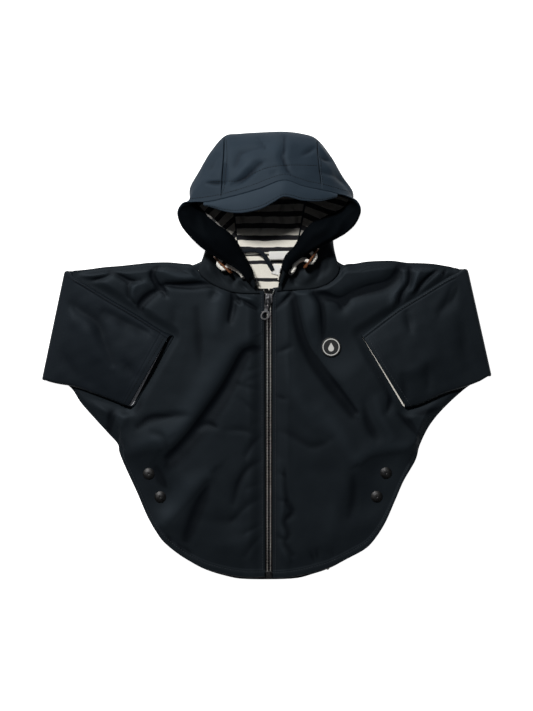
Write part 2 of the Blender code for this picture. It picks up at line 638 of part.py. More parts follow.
def make_peak():
    rows = np.array(PEAK)
    low, part = np.floor(rows[:, 0]), (rows[:, 0] % 1.0)[:, None]
    seam = hood_points(low, [4.0])[:, 0] * (1.0 - part) + hood_points(low + 1.0, [4.0])[:, 0] * part
    free = rows[:, 1:4]
    out = free - seam
    length = np.linalg.norm(out, axis=1, keepdims=True)
    seam = seam + out / length * PEAK_GAP
    top = np.array([seam + (free - seam) * share for share in (0.0, 0.35, 0.7, 1.0)])
    top = top.transpose(1, 0, 2)
    top[:, 1:3, 2] += PEAK_BOW
    wall("peak", top, top - np.array([0.0, 0.0, PEAK_WALL]), "slate_coated_cloth")


# ---------------------------------------------------------------- zip
ZIP_X = 3.0            # the teeth meet here
TAPE_Z = FRONT_UNDER
TAPE_WALL = 1.0
TAPE_WIDTH = 13.5
TEETH_Z = TAPE_Z + TAPE_WALL + SEAM
TEETH_HEIGHT = 1.5
TEETH_WIDTH = 2.6
ZIP_TOP = 77.0
ZIP_BOTTOM = -277.0
SLIDER_Y = 71.0
SLIDER_LENGTH = 12.0
TEETH_FOOT = 8.5       # the bottom box takes this much of them
BOX_HALF_WIDTH = 3.6
BOX_TOP = 7.6
PULL_WIRE = 1.8
BRIDGE_WIRE = 1.8
PULL_SHIFT = -1.0      # the pull hangs a little left of the teeth
PULL_AXIS_Y = 71.5
PULL_AXIS_Z = 9.4


def block(name, low, high, material, bevel=0.0):
    """A box between two corners, its edges rounded by bevel."""
    low, high = np.array(low), np.array(high)
    bpy.ops.mesh.primitive_cube_add(size=1.0)
    item = bpy.context.object
    item.name = item.data.name = name
    for corner in item.data.vertices:
        corner.co = [float(c * size) * MM for c, size in zip(corner.co, high - low)]
    item.location = tuple((low + high) / 2.0 * MM)
    item.data.materials.append(MADE[material])
    move_to_group(item)
    if bevel:
        edge = item.modifiers.new("rounded", "BEVEL")
        edge.width, edge.segments = bevel * MM, 2
    return item


def move_to_group(item):
    for other in list(item.users_collection):
        other.objects.unlink(item)
    GROUP.objects.link(item)


def sections(name, rings, material, smooth=True):
    """A closed solid lofted through rings of points, its ends filled."""
    rings = np.asarray(rings, float)
    count, size = rings.shape[:2]
    faces = grid_faces(count, size, True)
    faces.append(tuple(reversed(range(size))))
    faces.append(tuple((count - 1) * size + j for j in range(size)))
    return add_mesh(name, rings.reshape(-1, 3), faces, material, smooth)


def rounded_outline(half_x, half_y, corner, steps=3):
    """Plan outline of a rounded rectangle about the origin."""
    points = []
    for quarter in range(4):
        cx = (half_x - corner) * (1 if quarter in (0, 3) else -1)
        cy = (half_y - corner) * (1 if quarter in (0, 1) else -1)
        for k in range(steps + 1):
            turn = math.radians(90.0 * (quarter + k / steps))
            points.append((cx + corner * math.cos(turn), cy + corner * math.sin(turn)))
    return points


def make_zip():
    for name, side in (("left", -1.0), ("right", 1.0)):
        inner = ZIP_X + side * SEAM / 2.0
        outer = ZIP_X + side * TAPE_WIDTH
        low, high = sorted((inner, outer))
        block(
            "zip_tape_" + name, (low, ZIP_BOTTOM, TAPE_Z), (high, ZIP_TOP, TAPE_Z + TAPE_WALL),
            "black_tape",
        )
        low, high = sorted((inner, ZIP_X + side * (SEAM / 2.0 + TEETH_WIDTH)))
        block(
            "zip_teeth_" + name, (low, ZIP_BOTTOM + TEETH_FOOT, TEETH_Z),
            (high, SLIDER_Y - SLIDER_LENGTH / 2.0 - SEAM, TEETH_Z + TEETH_HEIGHT), "silver_metal",
        )
    block(
        "zip_box", (ZIP_X - BOX_HALF_WIDTH, ZIP_BOTTOM - 1.0, TEETH_Z),
        (ZIP_X + BOX_HALF_WIDTH, ZIP_BOTTOM + TEETH_FOOT - 0.5, BOX_TOP), "gunmetal", 0.5,
    )
    make_slider()
    make_pull()


# The slider's body: height, half width, half length; narrow between the fronts, wider over them
SLIDER_LEVELS = (
    (TEETH_Z, 2.6, 5.4), (6.3, 2.6, 5.4), (6.5, 4.6, 6.0), (7.2, 4.6, 6.0), (7.6, 4.0, 5.4),
)
SLIDER_CORNER = 2.2
# Its bridge over the pull: along the zip from the pull's axis, height
BRIDGE_ROUTE = (
    (-3.6, 7.4), (-3.4, 10.0), (-1.8, 11.5), (0.0, 11.9), (1.8, 11.5), (3.4, 10.0), (3.6, 7.4),
)


def make_slider():
    rings = []
    for z, half_x, half_y in SLIDER_LEVELS:
        outline = rounded_outline(half_x, half_y, SLIDER_CORNER)
        rings.append([(ZIP_X + x, SLIDER_Y + y, z) for x, y in outline])
    slider = sections("zip_slider", rings, "silver_metal")
    route = [(ZIP_X, PULL_AXIS_Y + y, z) for y, z in BRIDGE_ROUTE]
    bridge = tube_mesh("bridge", along(route, 13), BRIDGE_WIRE, 2)
    cutter = bpy.data.objects.new("slider_bridge_cutter", bridge)
    cutter.hide_render = True
    cutter.display_type = "WIRE"
    CUTTERS.objects.link(cutter)
    join = slider.modifiers.new("bridge", "BOOLEAN")
    join.operation, join.solver, join.object = "UNION", "EXACT", cutter


def make_cutters():
    group = bpy.data.collections.new("cutters")
    bpy.context.scene.collection.children.link(group)
    return group


CUTTERS = make_cutters()


def tube_curve(name, route, diameter, resolution, cyclic=False):
    """A poly curve along a route, given a round section."""
    curve = bpy.data.curves.new(name, "CURVE")
    curve.dimensions = "3D"
    curve.bevel_depth = diameter / 2.0 * MM
    curve.bevel_resolution = resolution
    curve.use_fill_caps = not cyclic
    line = curve.splines.new("POLY")
    line.points.add(len(route) - 1)
    for point, place in zip(line.points, route):
        point.co = (*(float(c) * MM for c in place), 1.0)
    line.use_cyclic_u = cyclic
    return curve


def tube_mesh(name, route, diameter, resolution):
    """A tube's mesh, welded, for joining to another piece."""
    item = bpy.data.objects.new(name, tube_curve(name, route, diameter, resolution))
    CUTTERS.objects.link(item)
    graph = bpy.context.evaluated_depsgraph_get()
    mesh = bpy.data.meshes.new_from_object(item.evaluated_get(graph))
    bpy.data.objects.remove(item, do_unlink=True)
    shape = bmesh.new()
    shape.from_mesh(mesh)
    bmesh.ops.remove_doubles(shape, verts=shape.verts, dist=0.00001)
    bmesh.ops.recalc_face_normals(shape, faces=shape.faces)
    shape.to_mesh(mesh)
    shape.free()
    return mesh


def tube(name, route, diameter, material, resolution=2, cyclic=False):
    item = bpy.data.objects.new(name, tube_curve(name, route, diameter, resolution, cyclic))
    item.data.materials.append(MADE[material])
    GROUP.objects.link(item)
    return item


# Half of the pull's wire loop, from the crossbar to the ring: across, along, height below the axis
PULL_HALF = (
    (0.0, 0.0, 0.0), (2.3, 0.0, 0.0), (3.3, -1.0, 0.0), (3.4, -4.0, -0.3), (3.2, -9.5, -1.1),
    (2.4, -12.6, -1.5), (1.3, -14.8, -1.6), (1.35, -16.3, -1.6), (3.0, -18.2, -1.6),
    (4.75, -20.6, -1.6), (4.9, -22.6, -1.6), (3.6, -25.4, -1.6), (1.6, -26.7, -1.6),
)
PULL_SKEW = 0.16       # it lies a little to the left of the zip


def make_pull():
    axis = np.array([ZIP_X + PULL_SHIFT, PULL_AXIS_Y, PULL_AXIS_Z])
    half = np.array(PULL_HALF)
    other = half[1:][::-1] * np.array([-1.0, 1.0, 1.0])
    loop = np.concatenate([half, other])
    loop[:, 0] += loop[:, 1] * PULL_SKEW
    closed = np.concatenate([loop, loop[:1]])
    places = along(closed, 61)[:-1]
    pull = tube("zip_pull", places, PULL_WIRE, "silver_metal", cyclic=True)
    pull.location = tuple(axis * MM)


# ---------------------------------------------------------------- snaps and badge
def turned(name, profile, place, material, steps=20):
    """A solid of revolution: profile is radius, height from the axis at the top to it at the bottom."""
    mesh = bpy.data.meshes.new(name)
    points = [(r * MM, 0.0, z * MM) for r, z in profile]
    mesh.from_pydata(points, [(k, k + 1) for k in range(len(points) - 1)], [])
    item = bpy.data.objects.new(name, mesh)
    item.location = tuple(c * MM for c in place)
    item.data.materials.append(MADE[material])
    GROUP.objects.link(item)
    spin = item.modifiers.new("turned", "SCREW")
    spin.steps = spin.render_steps = steps
    spin.use_merge_vertices = True
    spin.merge_threshold = 0.00001
    return item


SNAP_PROFILE = (
    (0.0, 1.95), (0.9, 2.0), (1.5, 2.35), (3.1, 2.2), (5.1, 1.6), (6.6, 0.8), (SNAP_RADIUS, 0.3),
    (SNAP_RADIUS, 0.0), (0.0, 0.0),
)
BADGE_FACE = 1.6
BADGE_PROFILE = (
    (0.0, BADGE_FACE), (9.3, BADGE_FACE), (9.5, 2.1), (10.6, 2.1), (10.8, BADGE_FACE),
    (11.7, BADGE_FACE), (BADGE_RADIUS, 1.0),
    (BADGE_RADIUS, 0.0), (0.0, 0.0),
)
DROP_HALF = ((0.0, 5.6), (1.3, 3.2), (2.7, 0.9), (3.6, -1.3), (3.2, -3.6), (1.7, -5.1), (0.0, -5.5))
DROP_HEIGHT = 0.6
DROP_GAP = 0.1


def make_small_pieces():
    top = FRONT_TOP + SEAM
    names = ("snap_left_upper", "snap_left_lower", "snap_right_upper", "snap_right_lower")
    for name, (x, y, _) in zip(names, FLATS):
        turned(name, SNAP_PROFILE, (x, y, top), "gunmetal")
    x, y, _ = FLATS[4]
    turned("badge", BADGE_PROFILE, (x, y, top), "black_rubber", 28)
    half = list(DROP_HALF)
    outline = half + [(-px, py) for px, py in half[1:-1]][::-1]
    foot = top + BADGE_FACE + DROP_GAP
    rings = [[(x + px, y + py, z) for px, py in outline] for z in (foot, foot + DROP_HEIGHT)]
    sections("badge_drop", rings, "gunmetal", smooth=False)


# ---------------------------------------------------------------- neck: loop, label, cords
LOOP_ROUTE = (
    (-33.0, 127.5, 7.4), (-27.0, 130.0, 8.8), (-15.0, 131.0, 9.4), (-6.5, 128.0, 9.2),
    (0.0, 120.5, 8.6), (4.5, 112.5, 6.6), (8.0, 106.0, 5.1),
)
LOOP_WIDTH = 4.5
LOOP_WALL = 1.0
# The two labels: name, middle, size, turn in degrees
LABELS = (
    ("neck_label", (19.2, 124.6, 6.9), (31.6, 10.0, 0.8), 1.0),
    ("size_label", (14.5, 106.5, LINING_UNDER + LINING + SEAM + 0.4), (14.0, 12.5, 0.8), -16.0),
)


def make_loop():
    line = along(LOOP_ROUTE, 13)
    run = np.gradient(line[:, :2], axis=0)
    run /= np.linalg.norm(run, axis=1, keepdims=True)
    side = np.stack([-run[:, 1], run[:, 0], np.zeros(len(run))], axis=1) * LOOP_WIDTH / 2.0
    top = np.stack([line - side, line + side], axis=1) + np.array([0.0, 0.0, LOOP_WALL / 2.0])
    wall("hanging_loop", top, top - np.array([0.0, 0.0, LOOP_WALL]), "navy_coated_cloth")


def make_labels():
    for name, place, size, turn in LABELS:
        half = np.array(size) / 2.0
        label = block(name, -half, half, "plain_label")
        label.rotation_euler = (0.0, 0.0, math.radians(turn))
        label.location = tuple(c * MM for c in place)


def collar(row, share, off):
    """A place off the hood's outer face."""
    place = hood_points([row], [share])[0, 0]
    return place + hood_normals([row], [share])[0, 0] * off


EYELET_PROFILE = ((1.6, 0.6), (2.6, 0.9), (3.6, 0.5), (3.8, 0.0), (1.6, 0.0), (1.6, 0.6))
STOPPER_HALF = (15.5, 5.5, 1.1)
STOPPER_CORNER = 4.5
STOPPER_EDGE = 0.4
STOPPER_LEAN = 9.0     # degrees its top edge leans out from the hood
HOLE_DIAMETER = 6.2
HOLE_OFF = 5.5         # its two holes lie this far each side of its middle
# Each stopper: its middle, the heading of its length in degrees, the end with the first hole
STOPPERS = {
    "left": ((-54.4, 113.0, 14.4), -45.0, 1.0),
    "right": ((55.4, 121.0, 15.7), 55.6, -1.0),
}


def stopper_axes(name):
    """Unit directions of a stopper: along it, up it and through it to the side the cord comes from."""
    heading, lean = math.radians(STOPPERS[name][1]), math.radians(STOPPER_LEAN)
    along_it = np.array([math.cos(heading), math.sin(heading), 0.0])
    flat = np.array([-math.sin(heading), math.cos(heading), 0.0])
    rise = np.array([0.0, 0.0, 1.0])
    through = flat * math.cos(lean) + rise * math.sin(lean)
    return np.array([along_it, np.cross(through, along_it), through])


def make_stopper(name):
    """A brown stopper: an oblong tab with two holes that the cord goes out and back through."""
    middle, axes = np.array(STOPPERS[name][0]), stopper_axes(name)
    half_x, half_y, half_z = STOPPER_HALF
    rings = []
    for z, off in ((-half_z, STOPPER_EDGE), (STOPPER_EDGE - half_z, 0.0), (half_z - STOPPER_EDGE, 0.0),
                   (half_z, STOPPER_EDGE)):
        outline = rounded_outline(half_x - off, half_y - off, STOPPER_CORNER - off)
        rings.append([middle + np.array([x, y, z]) @ axes for x, y in outline])
    item = sections("toggle_" + name, rings, "brown_wood")
    for end in (-1.0, 1.0):
        hole = middle + axes[0] * HOLE_OFF * end
        route = [hole - axes[2] * 2.0 * half_z, hole + axes[2] * 2.0 * half_z]
        drill = tube_mesh("drill", route, HOLE_DIAMETER, 4)
        cutter = bpy.data.objects.new("toggle_cutter_" + name, drill)
        cutter.hide_render = True
        cutter.display_type = "WIRE"
        CUTTERS.objects.link(cutter)
        cut = item.modifiers.new("hole", "BOOLEAN")
        cut.operation, cut.solver, cut.object = "DIFFERENCE", "EXACT", cutter


def aim(item, axis):
    """Turn a piece's +Z to an axis."""
    x, y, z = np.asarray(axis, float) / np.linalg.norm(axis)
    item.rotation_euler = (0.0, math.acos(z), math.atan2(y, x))


# Each free loop of the drawcord: its points between the eyelet and the stopper, and where it ends
CORD_LEADS = {
    "left": ((-31.6, 102.4, 13.2), (-39.5, 107.6, 12.6)),
    "right": (
        (34.0, 107.5, 12.6), (34.9, 112.2, 13.2), (40.0, 117.4, 13.9), (46.0, 119.4, 14.4),
    ),
}
CORD_ENDS = {"left": (-60.5, 124.5, 15.0), "right": (54.0, 132.5, 16.5)}
# The cord at the stopper: which hole (1 the first, -1 the second), distance through from its middle
CORD_THROUGH = (
    (1.0, 3.4), (1.0, 0.0), (0.96, -2.2), (0.5, -3.9),
    (-0.5, -3.9), (-0.96, -2.2), (-1.0, 0.0), (-1.0, 3.0),
)
EYELETS = {"left": (1.4, 0.95), "right": (30.0, 1.02)}  # row and share of the hood
CORD_START = 3.0       # the cord's end stands this far off its eyelet's foot


def cord_route(name, start):
    (middle, _, first), axes = STOPPERS[name], stopper_axes(name)
    threaded = [middle + axes[0] * HOLE_OFF * first * hole + axes[2] * off for hole, off in CORD_THROUGH]
    return [start, *CORD_LEADS[name], *threaded, CORD_ENDS[name]]


def make_cord(name):
    """A loop of the drawcord, out of its eyelet, through the stopper and back into the hood's edge."""
    row, share = EYELETS[name]
    hole = collar(row, share, 2.0 * SEAM)
    out = hood_normals([row], [share])[0, 0]
    ring = turned("eyelet_" + name, EYELET_PROFILE, hole, "silver_metal", 16)
    aim(ring, out)
    start = hole + out * CORD_START
    route = along(cord_route(name, start), 45)
    tube("cord_" + name, route, CORD_DIAMETER, "cream_cotton", resolution=3)
    make_stopper(name)


def make_cords():
    make_cord("left")
    make_cord("right")


make_front("front_left", LEFT_FRONT)
make_front("front_right", RIGHT_FRONT)
make_back()
make_body_lining()
for label, sleeve_table, direction in (("left", LEFT_SLEEVE, -1.0), ("right", RIGHT_SLEEVE, 1.0)):
    cuff_outer, cuff_inner = make_sleeve(label, sleeve_table, direction)
    wall("cuff_lining_" + label, cuff_outer, cuff_inner, "cream_cotton", around=True)
make_hood()
make_peak()
make_zip()
make_small_pieces()
make_loop()
make_labels()
make_cords()
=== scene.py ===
import math

import bmesh
import bpy
import numpy as np
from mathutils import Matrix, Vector
from mathutils.bvhtree import BVHTree


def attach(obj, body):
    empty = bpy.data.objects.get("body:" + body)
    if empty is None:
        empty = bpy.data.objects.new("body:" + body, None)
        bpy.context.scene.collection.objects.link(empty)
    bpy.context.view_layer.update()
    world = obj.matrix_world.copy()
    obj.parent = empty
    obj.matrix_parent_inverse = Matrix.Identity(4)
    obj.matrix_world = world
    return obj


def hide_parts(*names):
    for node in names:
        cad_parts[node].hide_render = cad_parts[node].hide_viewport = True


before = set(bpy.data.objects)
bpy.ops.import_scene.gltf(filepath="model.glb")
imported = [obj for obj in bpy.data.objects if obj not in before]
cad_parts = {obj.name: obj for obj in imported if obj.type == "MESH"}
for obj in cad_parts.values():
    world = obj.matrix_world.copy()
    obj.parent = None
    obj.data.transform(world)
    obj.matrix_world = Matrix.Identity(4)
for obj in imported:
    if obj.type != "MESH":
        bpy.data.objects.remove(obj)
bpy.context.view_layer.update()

# ------------------------------------------------------------------------------------------
# The table it lies on, a camera straight above and the studio light.
# A pale board; one large soft lamp at the hood's left and a weak one opposite.
# All sizes in this file are millimetres: X across the coat, Y from hem to hood, Z up.
# ------------------------------------------------------------------------------------------
MM = 0.001
CAMERA_HEIGHT = 2400.0
SEEN_HEIGHT = 888.75
SENSOR = 36.0
FLOOR_HALF, FLOOR_Z = 2600.0, -0.2
BOARD_GLOW = 1.15      # the board is lit from below, so that shadows on it stay faint
SKY, SKY_GLOW = (0.95, 0.97, 1.0), 0.03


def add_node(tree, kind, settings=None, sockets=None):
    """A node in a tree: its settings first, then its sockets' values or links."""
    made = tree.nodes.new(kind)
    for name, value in (settings or {}).items():
        setattr(made, name, value)
    for name, value in (sockets or {}).items():
        if isinstance(value, bpy.types.NodeSocket):
            tree.links.new(value, made.inputs[name])
        else:
            made.inputs[name].default_value = value
    return made


class Value:
    """A number that varies over a surface; working with it adds the Math nodes."""

    def __init__(self, finish, socket):
        self.finish, self.socket = finish, socket

    def maths(self, operation, *terms):
        return self.finish.node("ShaderNodeMath", {"operation": operation}, dict(enumerate(terms)))

    def __add__(self, other):
        return self.maths("ADD", self, other)

    def __sub__(self, other):
        return self.maths("SUBTRACT", self, other)

    def __rsub__(self, other):
        return self.maths("SUBTRACT", other, self)

    def __mul__(self, other):
        return self.maths("MULTIPLY", self, other)

    def __truediv__(self, other):
        return self.maths("DIVIDE", self, other)

    def __abs__(self):
        return self.maths("ABSOLUTE", self)

    __radd__ = __add__
    __rmul__ = __mul__

    def part(self):
        """What is left of it above the whole number below."""
        return self.maths("FRACT", self)

    def wave(self):
        return self.maths("SINE", self)

    def root(self):
        return self.maths("SQRT", self)

    def between(self, low, high):
        """0 below low, 1 above high and soft between."""
        return self.finish.node(
            "ShaderNodeMapRange",
            {"interpolation_type": "SMOOTHSTEP"},
            {"Value": self, "From Min": low, "From Max": high},
        )


class Finish:
    """A surface's finish, built node by node."""

    def __init__(self, name):
        self.material = bpy.data.materials.new(name)
        self.material.use_nodes = True
        self.tree = self.material.node_tree
        self.tree.nodes.clear()

    def node(self, kind, settings=None, sockets=None, output=0):
        """A node; gives one of its outputs."""
        plain = {k: v.socket if isinstance(v, Value) else v for k, v in (sockets or {}).items()}
        made = add_node(self.tree, kind, settings, plain)
        return Value(self, made.outputs[output]) if len(made.outputs) else None

    def place(self):
        return self.node("ShaderNodeTexCoord", output=3)

    def cloth_place(self):
        """Across and along the cloth, in millimetres."""
        return self.node("ShaderNodeUVMap", {"uv_map": "cloth"})

    def relief(self):
        """How far the cloth stands above the cloth round it, in millimetres; painted shade and highlight are
        read from it.
        """
        return self.node("ShaderNodeAttribute", {"attribute_name": "relief"}, output=2)

    def split(self, vector):
        parts = self.node("ShaderNodeSeparateXYZ", sockets={0: vector})
        outputs = parts.socket.node.outputs
        return [Value(self, outputs[k]) for k in range(3)]

    def noise(self, scale, detail=2.0, where=None, roughness=0.55):
        where = where or self.place()
        sockets = {"Vector": where, "Scale": scale, "Detail": detail, "Roughness": roughness}
        return self.node("ShaderNodeTexNoise", sockets=sockets)

    def mix(self, amount, first, second):
        colours = [c if isinstance(c, Value) else (*c, 1.0) for c in (first, second)]
        sockets = {0: amount, 6: colours[0], 7: colours[1]}
        return self.node("ShaderNodeMix", {"data_type": "RGBA"}, sockets, output=2)

    def bump(self, height, distance, strength=1.0, under=None):
        sockets = {"Height": height, "Distance": distance * MM, "Strength": strength}
        if under is not None:
            sockets["Normal"] = under
        return self.node("ShaderNodeBump", sockets=sockets)

    def done(self, **sockets):
        """The finished material; a socket's name has _ for each space."""
        named = {name.replace("_", " "): value for name, value in sockets.items()}
        for name, value in named.items():
            if isinstance(value, tuple) and len(value) == 3:
                named[name] = (*value, 1.0)
        shader = self.node("ShaderNodeBsdfPrincipled", sockets=named)
        self.node("ShaderNodeOutputMaterial", sockets={"Surface": shader})
        return self.material


def board_finish():
    finish = Finish("pale_board")
    tone = finish.mix(finish.noise(3.0), (0.86, 0.86, 0.86), (0.90, 0.90, 0.90))
    return finish.done(
        Base_Color=tone, Roughness=0.9, Specular_IOR_Level=0.1,
        Emission_Color=tone, Emission_Strength=BOARD_GLOW,
    )


def add_object(name, data):
    made = bpy.data.objects.new(name, data)
    bpy.context.scene.collection.objects.link(made)
    return made


def add_piece(name, points, faces, material, spread=None, relief=None):
    """A mesh object at the origin from points in millimetres; spread is each point's cloth place.

    relief is how far each point stands above the cloth round it, in millimetres; finishes paint shade and
    highlight from it.
    """
    mesh = bpy.data.meshes.new(name)
    mesh.from_pydata((np.asarray(points) * MM).tolist(), [], faces)
    mesh.polygons.foreach_set("use_smooth", np.full(len(mesh.polygons), True))
    if spread is not None:
        corners = np.empty(len(mesh.loops), dtype=np.int32)
        mesh.loops.foreach_get("vertex_index", corners)
        layer = mesh.uv_layers.new(name="cloth")
        layer.data.foreach_set("uv", np.asarray(spread, dtype=np.float32)[corners].ravel())
    if relief is not None:
        heights = mesh.attributes.new("relief", "FLOAT", "POINT")
        heights.data.foreach_set("value", np.asarray(relief, dtype=np.float32))
    mesh.materials.append(material)
    return add_object(name, mesh)


def add_lamp(name, place, size, watts, colour):
    lamp = bpy.data.lights.new(name, "AREA")
    lamp.shape, lamp.size, lamp.energy, lamp.color = "DISK", size * MM, watts, colour
    stand = add_object(name, lamp)
    stand.location = Vector(place) * MM
    stand.rotation_euler = (-Vector(place)).to_track_quat("-Z", "Y").to_euler()


camera = bpy.data.cameras.new("camera")
camera.sensor_width = SENSOR
camera.lens = SENSOR * CAMERA_HEIGHT / SEEN_HEIGHT
camera.clip_end = 100.0
camera_stand = add_object("camera", camera)
camera_stand.location = (0.0, 0.0, CAMERA_HEIGHT * MM)
bpy.context.scene.camera = camera_stand

floor_corners = [(x * FLOOR_HALF, y * FLOOR_HALF, FLOOR_Z) for x, y in ((-1, -1), (1, -1), (1, 1), (-1, 1))]
floor = add_piece("floor", floor_corners, [(0, 1, 2, 3)], board_finish())

add_lamp("key_lamp", (-800.0, 1350.0, 1750.0), 400.0, 56.0, (1.0, 0.99, 0.97))
add_lamp("top_lamp", (-300.0, 500.0, 2600.0), 1500.0, 1.5, (0.97, 0.98, 1.0))
add_lamp("fill_lamp", (1400.0, -700.0, 1500.0), 1600.0, 0.5, (0.95, 0.97, 1.0))
world = bpy.data.worlds.new("studio")
world.use_nodes = True
background = world.node_tree.nodes["Background"]
background.inputs["Color"].default_value = (*SKY, 1.0)
background.inputs["Strength"].default_value = SKY_GLOW
bpy.context.scene.world = world
bpy.context.scene.view_settings.view_transform = "Standard"

# ------------------------------------------------------------------------------------------
# Drawcords: two loops of thick cream cotton rope, three strands laid together, each out of
# its eyelet by the zip, through the two holes of an oblong wooden stopper and back inside.
# ------------------------------------------------------------------------------------------
CORD_DIAMETER = 5.0
CORD_STRANDS = 3
CORD_LAY = 11.0        # one turn of a strand takes this much cord
CORD_FULLNESS = 1.17   # the loose fibres stand out past the strands
CORD_GROOVE = 0.16     # the strands' grooves go this share of the radius in
CORD_RINGS, CORD_SIDES = 70, 36
STOPPER_LEAN = 9.0     # degrees that a stopper's holes rise towards where the cord comes from
HOLE_OFF = 5.5         # and its two holes lie this far each side of its middle
# Each stopper: its middle, the heading of its length in degrees, the end with the first hole
STOPPERS = {
    "left": ((-54.4, 113.0, 14.4), -45.0, 1.0),
    "right": ((55.4, 121.0, 15.7), 55.6, -1.0),
}
# Each cord's points from its eyelet to its stopper, and where it ends
CORD_LEADS = {
    "left": ((-29.68, 98.32, 11.2), (-31.6, 102.4, 13.2), (-39.5, 107.6, 12.6)),
    "right": (
        (30.94, 103.26, 11.6), (34.0, 107.5, 12.6), (34.9, 112.2, 13.2), (40.0, 117.4, 13.9),
        (46.0, 119.4, 14.4),
    ),
}
CORD_ENDS = {"left": (-60.5, 124.5, 15.0), "right": (54.0, 132.5, 16.5)}
# The cord at the stopper: which hole (1 the first, -1 the second), distance through from its middle
CORD_THROUGH = (
    (1.0, 3.4), (1.0, 0.0), (0.96, -2.2), (0.5, -3.9),
    (-0.5, -3.9), (-0.96, -2.2), (-1.0, 0.0), (-1.0, 3.0),
)


def cord_route(name):
    """From the eyelet, out through the stopper's first hole and back through its second."""
    middle, heading, first = STOPPERS[name]
    turn, lean = math.radians(heading), math.radians(STOPPER_LEAN)
    along_it = np.array([math.cos(turn), math.sin(turn), 0.0])
    flat = np.array([-math.sin(turn), math.cos(turn), 0.0])
    through = flat * math.cos(lean) + np.array([0.0, 0.0, math.sin(lean)])
    threaded = [middle + along_it * HOLE_OFF * first * hole + through * off for hole, off in CORD_THROUGH]
    return [*CORD_LEADS[name], *np.round(threaded, 2), CORD_ENDS[name]]


def spline(rows, at):
    """Values of a table's columns at fractional row numbers, by a smooth curve through its rows."""
    rows = np.asarray(rows, float)
    at = np.clip(np.asarray(at, float), 0.0, len(rows) - 1.0)
    low = np.clip(np.floor(at).astype(int), 0, len(rows) - 2)
    t = (at - low)[:, None]
    before = np.where(low[:, None] > 0, rows[np.maximum(low - 1, 0)], 2 * rows[low] - rows[low + 1])
    far = np.minimum(low + 2, len(rows) - 1)
    after = np.where(low[:, None] + 2 < len(rows), rows[far], 2 * rows[low + 1] - rows[low])
    a, b = rows[low], rows[low + 1]
    return 0.5 * (
        2 * a
        + (b - before) * t
        + (2 * before - 5 * a + 4 * b - after) * t**2
        + (3 * a - before - 3 * b + after) * t**3
    )


def run_of(line):
    """Distance along a line of points, at each of them."""
    return np.concatenate([[0.0], np.cumsum(np.linalg.norm(np.diff(line, axis=0), axis=1))])


def along(points, count):
    """Points spaced evenly by length on a smooth curve through a few."""
    points = np.asarray(points, float)
    fine = spline(points, np.linspace(0.0, len(points) - 1.0, 16 * len(points)))
    run = run_of(fine)
    at = np.linspace(0.0, run[-1], count)
    return np.stack([np.interp(at, run, fine[:, k]) for k in range(fine.shape[1])], axis=1)


def frames_along(line):
    """Two unit directions across a line at each of its points, turning as little as they can."""
    ahead = np.gradient(line, axis=0)
    ahead /= np.linalg.norm(ahead, axis=1, keepdims=True)
    side = np.cross(ahead[0], (0.0, 0.0, 1.0))
    if np.linalg.norm(side) < 0.1:
        side = np.cross(ahead[0], (0.0, 1.0, 0.0))
    sides = []
    for direction in ahead:
        side = side - direction * np.dot(side, direction)
        side = side / np.linalg.norm(side)
        sides.append(side)
    sides = np.array(sides)
    return sides, np.cross(ahead, sides)


def grid_faces(rows, columns, around=False, first=0):
    """Quads of a grid of points; around closes its columns."""
    i = np.arange(rows - 1)[:, None]
    j = np.arange(columns if around else columns - 1)[None, :]
    k = (j + 1) % columns
    corners = [i * columns + j, i * columns + k, (i + 1) * columns + k, (i + 1) * columns + j]
    corners = [np.broadcast_to(c, (rows - 1, j.shape[1])) for c in corners]
    return (np.stack(corners, axis=2).reshape(-1, 4) + first).tolist()


def outward(points, faces):
    """The faces of a closed mesh, turned over where they point in."""
    points = np.asarray(points, float)
    corners = np.array([f[:3] for f in faces])
    a, b, c = (points[corners[:, k]] for k in range(3))
    volume = np.einsum("ij,ij->i", a, np.cross(b, c)).sum()
    quads = [f for f in faces if len(f) == 4]
    if quads:
        q = np.array(quads)
        a, b, c = points[q[:, 0]], points[q[:, 2]], points[q[:, 3]]
        volume += np.einsum("ij,ij->i", a, np.cross(b, c)).sum()
    if volume > 0:
        return faces
    return [tuple(reversed(f)) for f in faces]


def rope(name, line, radius_of, around, material):
    """A round piece along a line; radius_of gives its radius at a length and an angle."""
    run = run_of(line)
    sides, ups = frames_along(line)
    angles = np.linspace(0.0, 2.0 * math.pi, around, endpoint=False)
    radius = radius_of(run[:, None], angles[None, :])
    rings = (
        line[:, None]
        + sides[:, None] * (radius * np.cos(angles))[..., None]
        + ups[:, None] * (radius * np.sin(angles))[..., None]
    )
    points = np.concatenate([rings.reshape(-1, 3), line[:1], line[-1:]])
    faces = grid_faces(len(line), around, around=True)
    for ring, tip in ((0, len(points) - 2), ((len(line) - 1) * around, len(points) - 1)):
        faces += [(ring + (k + 1) % around, ring + k, tip) for k in range(around)]
    faces[-around:] = [tuple(reversed(f)) for f in faces[-around:]]
    spread = np.stack(np.broadcast_arrays(angles[None, :] * CORD_DIAMETER / 2.0, run[:, None]), axis=2)
    spread = np.concatenate([spread.reshape(-1, 2), [[0.0, 0.0], [0.0, run[-1]]]])
    return add_piece(name, points, outward(points, faces), material, spread)


def laid_rope(run, angle):
    lay = np.cos(CORD_STRANDS * (angle - 2.0 * math.pi * run / CORD_LAY) / 2.0)
    return CORD_FULLNESS * CORD_DIAMETER / 2.0 * (1.0 - CORD_GROOVE * (1.0 - np.abs(lay)) ** 1.5)


